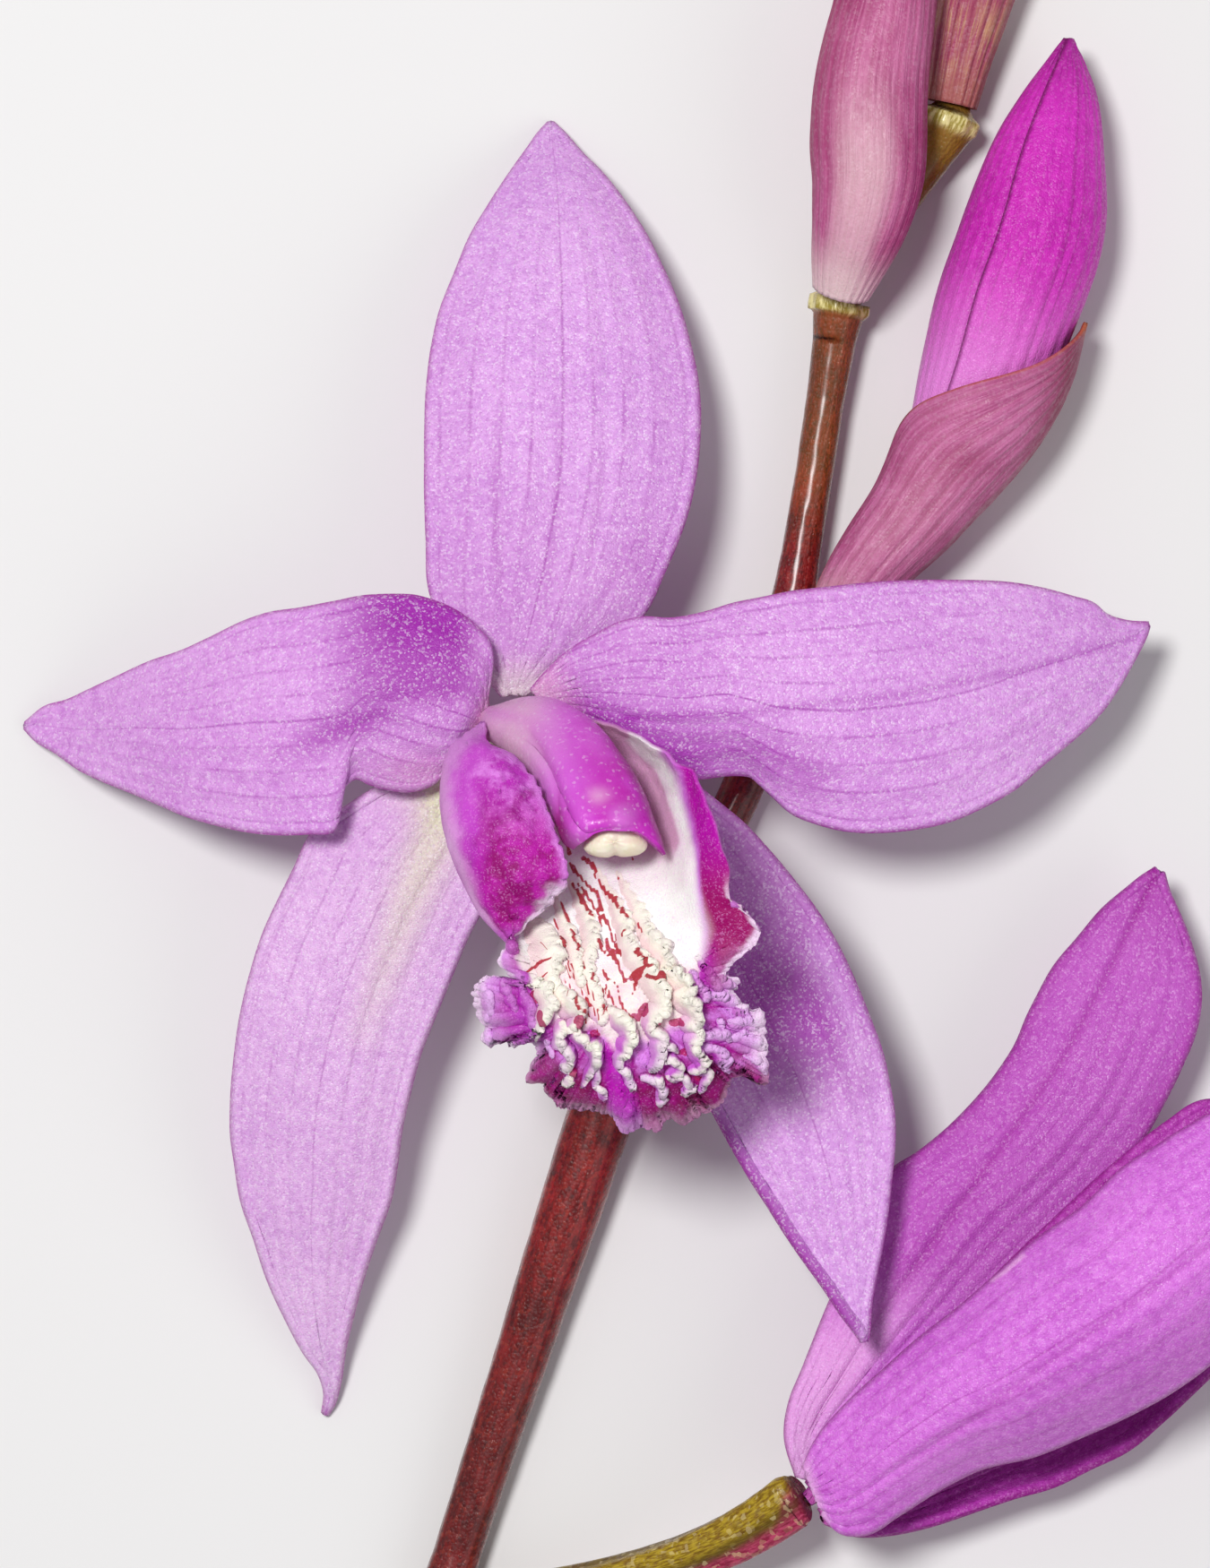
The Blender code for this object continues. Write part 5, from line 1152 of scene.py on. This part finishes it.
leaf("side_far_sepal_leaf",
     [(913, 1685), (958, 1652), (1018, 1612), (1090, 1572), (1160, 1532), (1230, 1492), (1300, 1452),
      (1370, 1430), (1430, 1432), (1462, 1442)],
     [(922, 1700), (950, 1713), (1000, 1712), (1040, 1703), (1085, 1688), (1131, 1672), (1176, 1659),
      (1217, 1639), (1258, 1619), (1299, 1585), (1350, 1537), (1390, 1502), (1430, 1472), (1464, 1450)],
     [5.6, 4.3, 3.2, 2.3, 1.7, 1.4, 1.5, 2.0], [0, .3, .5, .6, .6, .5, .3, 0],
     [0, .8, 1.6, 2.2, 2.4, 2.0, 1.0, 0], SIDE_DEEP, "side_flower_far_sepal", rows=140, cols=61)
leaf("side_near_petal_leaf",
     [(899, 1655), (950, 1588), (1018, 1515), (1096, 1437), (1178, 1357), (1250, 1292), (1303, 1250),
      (1338, 1228), (1362, 1226)],
     [(905, 1662), (962, 1612), (1036, 1545), (1116, 1472), (1196, 1402), (1272, 1334), (1328, 1282),
      (1358, 1252), (1368, 1234)],
     [7.9, 8.2, 8.5, 8.7, 8.8, 8.7, 8.4, 8.0], [0, -.1, -.2, -.3, -.3, -.2, -.1, 0],
     [0, -.1, -.2, -.3, -.3, -.2, -.1, 0], SIDE_DEEP, "side_flower_near_petal", rows=90, cols=21, thick=0.3)
leaf("side_far_petal_leaf",
     [(897, 1668), (948, 1596), (1012, 1518), (1090, 1440), (1170, 1370), (1250, 1312), (1318, 1280), (1356, 1272)],
     [(905, 1680), (968, 1640), (1044, 1592), (1130, 1532), (1212, 1470), (1292, 1402), (1345, 1336), (1366, 1292)],
     [5.9, 5.0, 4.4, 4.0, 3.8, 3.6, 3.4, 3.3], [0, -.1, -.2, -.3, -.3, -.2, -.1, 0],
     [0, -.1, -.1, -.1, -.1, -.1, -.1, 0], SIDE_DEEP, "side_flower_far_petal", rows=80, cols=25, thick=0.3)


def rolled(name, axis, radius, theta_from, theta_to, mat, node, rows=120, cols=80, thick=0.30, extra=None):
    s = even(rows, 0.15)
    line = catmull(place([p for p in axis]), s)
    r, a, b = (catmull(x, s)[:, 0] for x in (radius, theta_from, theta_to))
    tan = np.gradient(line, axis=0)
    tan /= np.linalg.norm(tan, axis=1)[:, None]
    up = np.array([0, 0, 1.0]) - tan * tan[:, 2:3]
    up /= np.linalg.norm(up, axis=1)[:, None]
    side = np.cross(tan, up)
    x = np.linspace(0, 1, cols)
    S, X = np.meshgrid(s, x, indexing="ij")
    TH = a[:, None] * (1 - X) + b[:, None] * X
    T = 2 * X - 1
    half = r * np.radians((b - a) / 2)
    edge = (1 - np.abs(T)) * np.abs(half)[:, None]
    rr = r[:, None] * np.ones(cols)
    seed = sum(ord(c) for c in name) % 97
    rr = rr + 0.10 * (fractal(S * 6, X * 7, seed) - 0.5)
    data = {"s": S, "t": T, "edge": edge, "shade": 0 * S, "pale": 0 * S, "theta": TH}
    if extra:
        rr, data = extra(S, T, TH, rr, data)
    rad = np.radians(TH)
    out = side[:, None] * np.sin(rad)[..., None] + up[:, None] * np.cos(rad)[..., None]
    P = line[:, None] + out * rr[..., None]
    th = thick * (0.45 + 0.55 * np.clip(edge / 0.3, 0, 1) ** 0.5)
    return shell(name, P, th, data, mat, [node], outward=out)


SIDE_AXIS = [(925, 1672, 7.3), (985, 1634, 7.2), (1060, 1590, 7.1), (1140, 1545, 7.1), (1220, 1500, 7.2), (1300, 1452, 7.4)]
rolled("side_lip_leaf", SIDE_AXIS, [1.0, 1.5, 2.0, 2.3, 2.5, 2.4], [10, 0, -5, -10, -5, 20],
       [230, 240, 245, 250, 240, 210], SIDE_DEEP, "side_flower_lip", rows=60, cols=44)


def rod(name, points, samples, segs, mat, node, shape=None, cut_ends=False):
    pts = place([p[:3] for p in points])
    rad = np.array([p[3] for p in points], float)
    step = np.linalg.norm(np.diff(pts, axis=0), axis=1)
    knots = np.concatenate([[0], np.cumsum(step)])
    total = knots[-1]
    s = np.unique(np.concatenate([np.linspace(0, 1, samples), knots / total]))
    line = catmull(pts, s)
    r = np.interp(s, knots / total, rad)
    A = np.linspace(0, 2 * math.pi, segs, endpoint=False)
    S = s[:, None] * np.ones(segs)
    ANG = np.ones(len(s))[:, None] * A
    run = S * total
    radius = r[:, None] * np.ones(segs)
    data = {"s": S, "a": np.sin(ANG) + 0 * S, "run": run, "ring": 0 * S, "olive": 0 * S, "red": 0 * S, "groove": 0 * S,
            "t": np.cos(ANG), "edge": 0 * S + 2, "shade": 0 * S, "pale": 0 * S, "crease": 0 * S, "knob": 0 * S, "face": 0 * S + 1}
    if shape:
        radius, data = shape(S, ANG, run, radius, data, line)
    return tube(name, line, radius, segs, data, mat, [node])


rod("side_column_rod", [(930, 1669, 7.3, 0.50), (985, 1634, 7.2, 0.65), (1060, 1590, 7.1, 0.80), (1130, 1551, 7.1, 0.95)],
    40, 24, COLUMN, "side_flower_column")


def ribbed(S, ANG, run, radius, data, line):
    """Six ribs that turn a little along the ovary: green above, crimson below."""
    turn = ANG + 0.9 * S
    rib = np.cos(3 * turn)
    radius = radius * (1 + 0.13 * rib * smooth(S, 0.0, 0.25)) + 0.04 * np.cos(6 * turn + 1.0)
    data["groove"] = np.clip(-rib, 0, 1) ** 1.5
    data["red"] = np.clip(0.5 + 0.75 * np.cos(ANG - 1.95) + 0.60 * smooth(S, 0.90, 1.0), 0, 1)
    radius = radius + 0.03 * (fractal(run * 1.5, ANG * 2, 5) - 0.5)
    return radius, data


rod("side_ovary_ribbed", [
    (531, 1786, 2.45, 0.85), (565, 1781, 2.70, 0.92), (620, 1772, 3.15, 1.00), (690, 1758, 3.75, 1.08),
    (760, 1738, 4.55, 1.18), (820, 1712, 5.35, 1.28), (868, 1684, 6.05, 1.34), (884, 1673, 6.30, 1.36), (891, 1669, 6.42, 1.24),
], 140, 72, OVARY, "ovary_side_flower", ribbed)
rod("open_ovary_ribbed", [
    (716, 1086, 4.55, 0.85), (700, 1052, 4.95, 0.95), (672, 998, 5.25, 1.10), (640, 935, 5.40, 1.25),
    (612, 880, 5.55, 1.35), (590, 835, 6.00, 1.40), (577, 806, 6.65, 1.25), (573, 797, 6.95, 1.10),
], 90, 60, OVARY, "ovary_open_flower", ribbed)
rod("bud_ovary_ribbed", [(926, 683, 4.30, 0.62), (944, 659, 4.2, 0.75), (972, 624, 4.1, 0.90), (1004, 584, 4.0, 0.95),
                         (1017, 566, 4.0, 0.90)], 50, 48, OVARY, "large_bud_ovary", ribbed)

# ------------------------------------------------------------ the stalk
RACHIS = [
    (424, 2160, 1.36, 1.22), (446, 2050, 1.36, 1.22), (467, 1940, 1.38, 1.20),
    (487, 1830, 1.45, 1.24), (495, 1790, 1.50, 1.42), (501, 1765, 1.52, 1.30), (510, 1735, 1.55, 1.20),
    (534, 1660, 1.62, 1.25), (560, 1580, 1.70, 1.32), (585, 1505, 1.80, 1.40), (609, 1430, 1.90, 1.50),
    (633, 1358, 2.00, 1.60), (655, 1290, 2.10, 1.66), (676, 1228, 2.20, 1.68), (697, 1170, 2.25, 1.66),
    (716, 1122, 2.28, 1.72), (722, 1106, 2.30, 1.60), (740, 1062, 2.25, 1.25), (770, 1000, 2.20, 1.12),
    (802, 935, 2.10, 1.08), (836, 860, 2.05, 1.06), (862, 770, 2.05, 1.06), (876, 706, 2.08, 1.12),
    (880, 690, 2.10, 1.42), (884, 672, 2.10, 1.12), (893, 620, 2.12, 0.99), (908, 530, 2.15, 0.95),
    (921, 445, 2.20, 0.97), (931, 380, 2.25, 1.10), (935, 354, 2.28, 1.28), (936, 349, 2.28, 1.52),
    (937, 338, 2.28, 1.52), (939, 333, 2.28, 1.05), (956, 300, 2.20, 0.86), (988, 250, 2.15, 0.82),
    (1020, 206, 2.15, 0.86), (1040, 172, 2.20, 1.10), (1052, 147, 2.28, 1.45), (1055, 140, 2.30, 1.62),
    (1059, 130, 2.30, 1.62), (1061, 124, 2.30, 1.15), (1064, 112, 2.35, 0.70),
]


def stalk_shape(S, ANG, run, radius, data, line):
    y, x = line[:, 1][:, None], line[:, 0][:, None]
    for u, v, h, wide in ((936.5, 343, 2.28, 0.36), (1057, 135, 2.30, 0.45), (880, 690, 2.10, 0.45), (495, 1790, 1.5, 0.5), (718, 1116, 2.28, 0.6)):
        c = place((u, v, h))
        d = np.hypot(x - c[0], y - c[1])
        ring = np.exp(-((d / wide) ** 4))
        data["ring"] = np.maximum(data["ring"], ring * (0.95 + 0 * S))
        radius = radius * (1 + 0.05 * ring * np.cos(9 * ANG + 1.2) * 1.0)
    up = smooth(line[:, 1], place((950, 310, 2))[1] - 1.0, place((975, 270, 2))[1])[:, None]
    mid = smooth(line[:, 1], place((893, 640, 2))[1], place((915, 500, 2))[1])[:, None]
    data["olive"] = np.maximum(0.85 * up, 0.28 * mid) + 0 * S
    ridge = np.exp(-(((ANG - 2 * math.pi + 1.05) / 0.16) ** 2)) + np.exp(-(((ANG - 2.4) / 0.2) ** 2))
    radius = radius + 0.07 * ridge * smooth(-y, 2.0, 12.0)
    radius = radius + 0.05 * (fractal(run * 1.1, ANG * 2.5, 6) - 0.5)
    return radius, data


rod("stalk_skin_tube", RACHIS, 380, 52, STALK, "flower_stalk", stalk_shape)

# ------------------------------------------------------------ the large bud and its bract
BUD_AXIS = [(1030, 556, 4.05), (1062, 497, 4.0), (1093, 430, 4.0), (1121, 345, 4.0), (1150, 263, 4.0),
            (1169, 171, 3.95), (1180, 122, 3.9), (1187, 82, 3.85), (1192, 44, 3.8)]
BUD_WIDTH = [1.35, 2.25, 3.00, 3.33, 3.45, 3.35, 2.75, 1.75, 0.50]


def bud_fold(lift, tuck_from, tuck_to):
    """A bud sepal whose margins lie over (lift above 0) or under those of its neighbours."""

    def shape(S, T, TH, rr, data):
        rr = rr + lift * smooth(1 - S, 0.0, 0.1) - 0.04 * np.exp(-((T / 0.05) ** 2)) + 0.03 * np.cos(T * 10 * math.pi)
        rr = rr - 0.30 * tuck_from * smooth(-T, 0.80, 0.92) - 0.30 * tuck_to * smooth(T, 0.80, 0.92)
        rr = rr + 0.05 * np.exp(-((data["edge"] - 0.30) / 0.14) ** 2) * (lift > 0)
        seam = np.exp(-(((TH - 33 + 10 * S) / 1.6) ** 2)) * (lift > 0) * smooth(S, 0.15, 0.4) * smooth(1 - S, 0.0, 0.1)
        rr = rr - 0.05 * seam
        data["shade"] = np.clip(0.6 * np.exp(-((data["edge"] / 0.10) ** 2)) + 0.35 * smooth(S, 0.80, 1.0) + 0.38 * seam, 0, 1)
        data["pale"] = 0.85 * smooth(0.56 - S, 0, 0.42)
        return rr, data

    return shape


TIP_WIDTH = BUD_WIDTH[:-1] + [0.15]
for name, a, b, lift, f, t in (("front", -29, 103, 0.10, 0, 0), ("back", 98, 217, 0.0, 1, 0), ("left", 213, 337, 0.0, 1, 1)):
    rolled(f"bud_{name}_leaf", BUD_AXIS, TIP_WIDTH, [a] * 9, [b] * 9, BUD,
           f"large_bud_{name}_sepal", rows=150 if lift else 100, cols=70 if lift else 48, thick=0.26, extra=bud_fold(lift, f, t))


def turn_of(th):
    """0 where a rolled leaf faces up, 1 at its sides."""
    return 1 - np.abs(np.cos(np.radians(th)))


def bract_fold(S, T, TH, rr, data):
    rr = rr + 0.035 * np.cos(T * 16 * math.pi) * smooth(1 - S, 0, 0.2)
    # painted shade, partly its own redder tone, where it turns down on the right and left, and a painted highlight
    # along its back
    turn = turn_of(TH)
    data["shade"] = np.clip(0.70 * smooth(turn, 0.30, 0.95) + 0.25 * smooth(fractal(S * 6, TH / 26, 12), 0.5, 0.7), 0, 1)
    data["pale"] = 0.22 * smooth(0.5 - turn, 0, 0.45) * smooth(0.75 - S, 0, 0.4)
    return rr, data


def large_fold(S, T, TH, rr, data):
    rr, data = bract_fold(S, T, TH, rr, data)
    # darker toward the tip, and more painted shade down its right side
    data["shade"] = np.clip(data["shade"] + 0.40 * smooth(S, 0.70, 0.95) + 0.40 * smooth(TH, 25, 70) * smooth(S, 0.45, 0.75), 0, 1)
    return rr, data


def upper_fold(S, T, TH, rr, data):
    rr, data = bract_fold(S, T, TH, rr, data)
    # a narrower painted highlight along its back and painted shade down its left side
    data["pale"] = 0.62 * smooth(0.26 - turn_of(TH + 6), 0, 0.26) * smooth(0.55 - S, 0, 0.3)
    data["shade"] = np.clip(data["shade"] + 0.50 * smooth(-TH, 12, 50) * smooth(S, 0.12, 0.4), 0, 1)
    return rr, data


def top_fold(S, T, TH, rr, data):
    rr, data = bract_fold(S, T, TH, rr, data)
    # only a faint painted highlight along its back
    data["pale"] = 0.2 * data["pale"]
    return rr, data


rolled("large_bud_bract_leaf",
       [(926, 692, 4.40), (950, 658, 4.25), (985, 613, 4.1), (1024, 566, 4.05), (1058, 511, 4.05), (1089, 452, 4.1),
        (1112, 395, 4.1), (1126, 340, 4.1)],
       [1.25, 1.80, 2.15, 2.55, 3.18, 3.72, 3.95, 3.97], [-82, -84, -84, -84, -66, -22, 30, 84],
       [262, 262, 262, 260, 240, 200, 150, 96], BRACT, "large_bud_bract", rows=110, cols=84, thick=0.24,
       extra=large_fold)

# ------------------------------------------------------------ the two upper bracts with their buds
UPPER_AXIS = [(938, 326, 4.35), (946, 296, 4.9), (960, 245, 5.7), (968, 199, 6.0), (969, 153, 6.0), (971, 107, 6.0),
              (977, 61, 6.0), (985, 18, 6.0), (995, -40, 5.9), (1004, -100, 5.7), (1010, -168, 5.5)]
rolled("upper_bract_leaf", UPPER_AXIS, [1.30, 1.95, 2.45, 2.75, 2.78, 2.68, 2.52, 2.35, 2.12, 1.60, 0.30],
       [-128, -132, -138, -140, -140, -138, -132, -120, -100, -80, -70],
       [128, 132, 136, 136, 134, 130, 124, 112, 95, 80, 70], BRACT_UP, "upper_bract", rows=110, cols=70,
       thick=0.24, extra=upper_fold)
rod("upper_bud_body", [(946, 300, 4.75, 0.55), (956, 262, 5.3, 1.0), (966, 205, 5.85, 1.75), (970, 140, 5.95, 2.10),
                       (975, 75, 5.95, 2.00), (986, 0, 5.95, 1.60), (998, -68, 5.8, 0.95), (1004, -108, 5.7, 0.30)],
    90, 48, BUD, "upper_bud")
TOP_AXIS = [(1060, 116, 2.55), (1064, 98, 2.6), (1070, 70, 2.65), (1077, 40, 2.7), (1087, 0, 2.75), (1103, -60, 2.8),
            (1121, -130, 2.8), (1138, -200, 2.7), (1150, -252, 2.5)]
rolled("top_bract_leaf", TOP_AXIS, [1.25, 1.45, 1.70, 1.92, 2.20, 2.38, 2.10, 1.30, 0.22],
       [-150, -150, -150, -148, -142, -130, -105, -85, -70], [150, 150, 150, 148, 142, 130, 105, 85, 70],
       BRACT_TOP, "top_bract", rows=80, cols=70, thick=0.24, extra=top_fold)
rod("top_bud_body", [(1067, 88, 2.62, 0.45), (1074, 55, 2.68, 0.95), (1086, 5, 2.75, 1.45), (1103, -60, 2.8, 1.62),
                     (1121, -130, 2.8, 1.30), (1136, -190, 2.7, 0.75), (1146, -228, 2.6, 0.25)],
    80, 40, BUD, "top_bud")

# ------------------------------------------------------------ table, light and camera
bpy.ops.mesh.primitive_plane_add(size=3.0, location=(0, 0, -0.00005))
floor = bpy.context.active_object
floor.name = "table_top"
fm = bpy.data.materials.new("table_top")
fm.use_nodes = True
fb = fm.node_tree.nodes["Principled BSDF"]
fb.inputs["Base Color"].default_value = (0.80, 0.79, 0.78, 1)
fb.inputs["Roughness"].default_value = 0.75
floor.data.materials.append(fm)

world = bpy.data.worlds.new("studio")
bpy.context.scene.world = world
world.use_nodes = True
world.node_tree.nodes["Background"].inputs["Color"].default_value = (0.95, 0.96, 1.0, 1)
world.node_tree.nodes["Background"].inputs["Strength"].default_value = 0.31


def area(name, location, size, watts, aim=(0, 0, 0.008)):
    light = bpy.data.lights.new(name, "AREA")
    light.shape = "DISK"
    light.size = size
    light.energy = watts
    obj = bpy.data.objects.new(name, light)
    bpy.context.scene.collection.objects.link(obj)
    obj.location = location
    from mathutils import Vector

    obj.rotation_mode = "QUATERNION"
    obj.rotation_quaternion = (Vector(aim) - Vector(location)).to_track_quat("-Z", "Y")
    return obj


area("key", (-0.10, 0.09, 0.43), 0.10, 1.50)
area("fill", (0.35, -0.15, 0.35), 0.40, 0.34)
bpy.context.scene.view_settings.view_transform = "Standard"

cam = bpy.data.cameras.new("eye")
cam.sensor_width = 36.0
cam.lens = 18.0 / ((1750 / GRID / 2) / (EYE_H - FLOWER_H))
cam.clip_start, cam.clip_end = 0.01, 10
eye = bpy.data.objects.new("eye", cam)
bpy.context.scene.collection.objects.link(eye)
eye.location = (ORIGIN[0] * MM, ORIGIN[1] * MM, (EYE_H + ORIGIN[2]) * MM)
bpy.context.scene.camera = eye
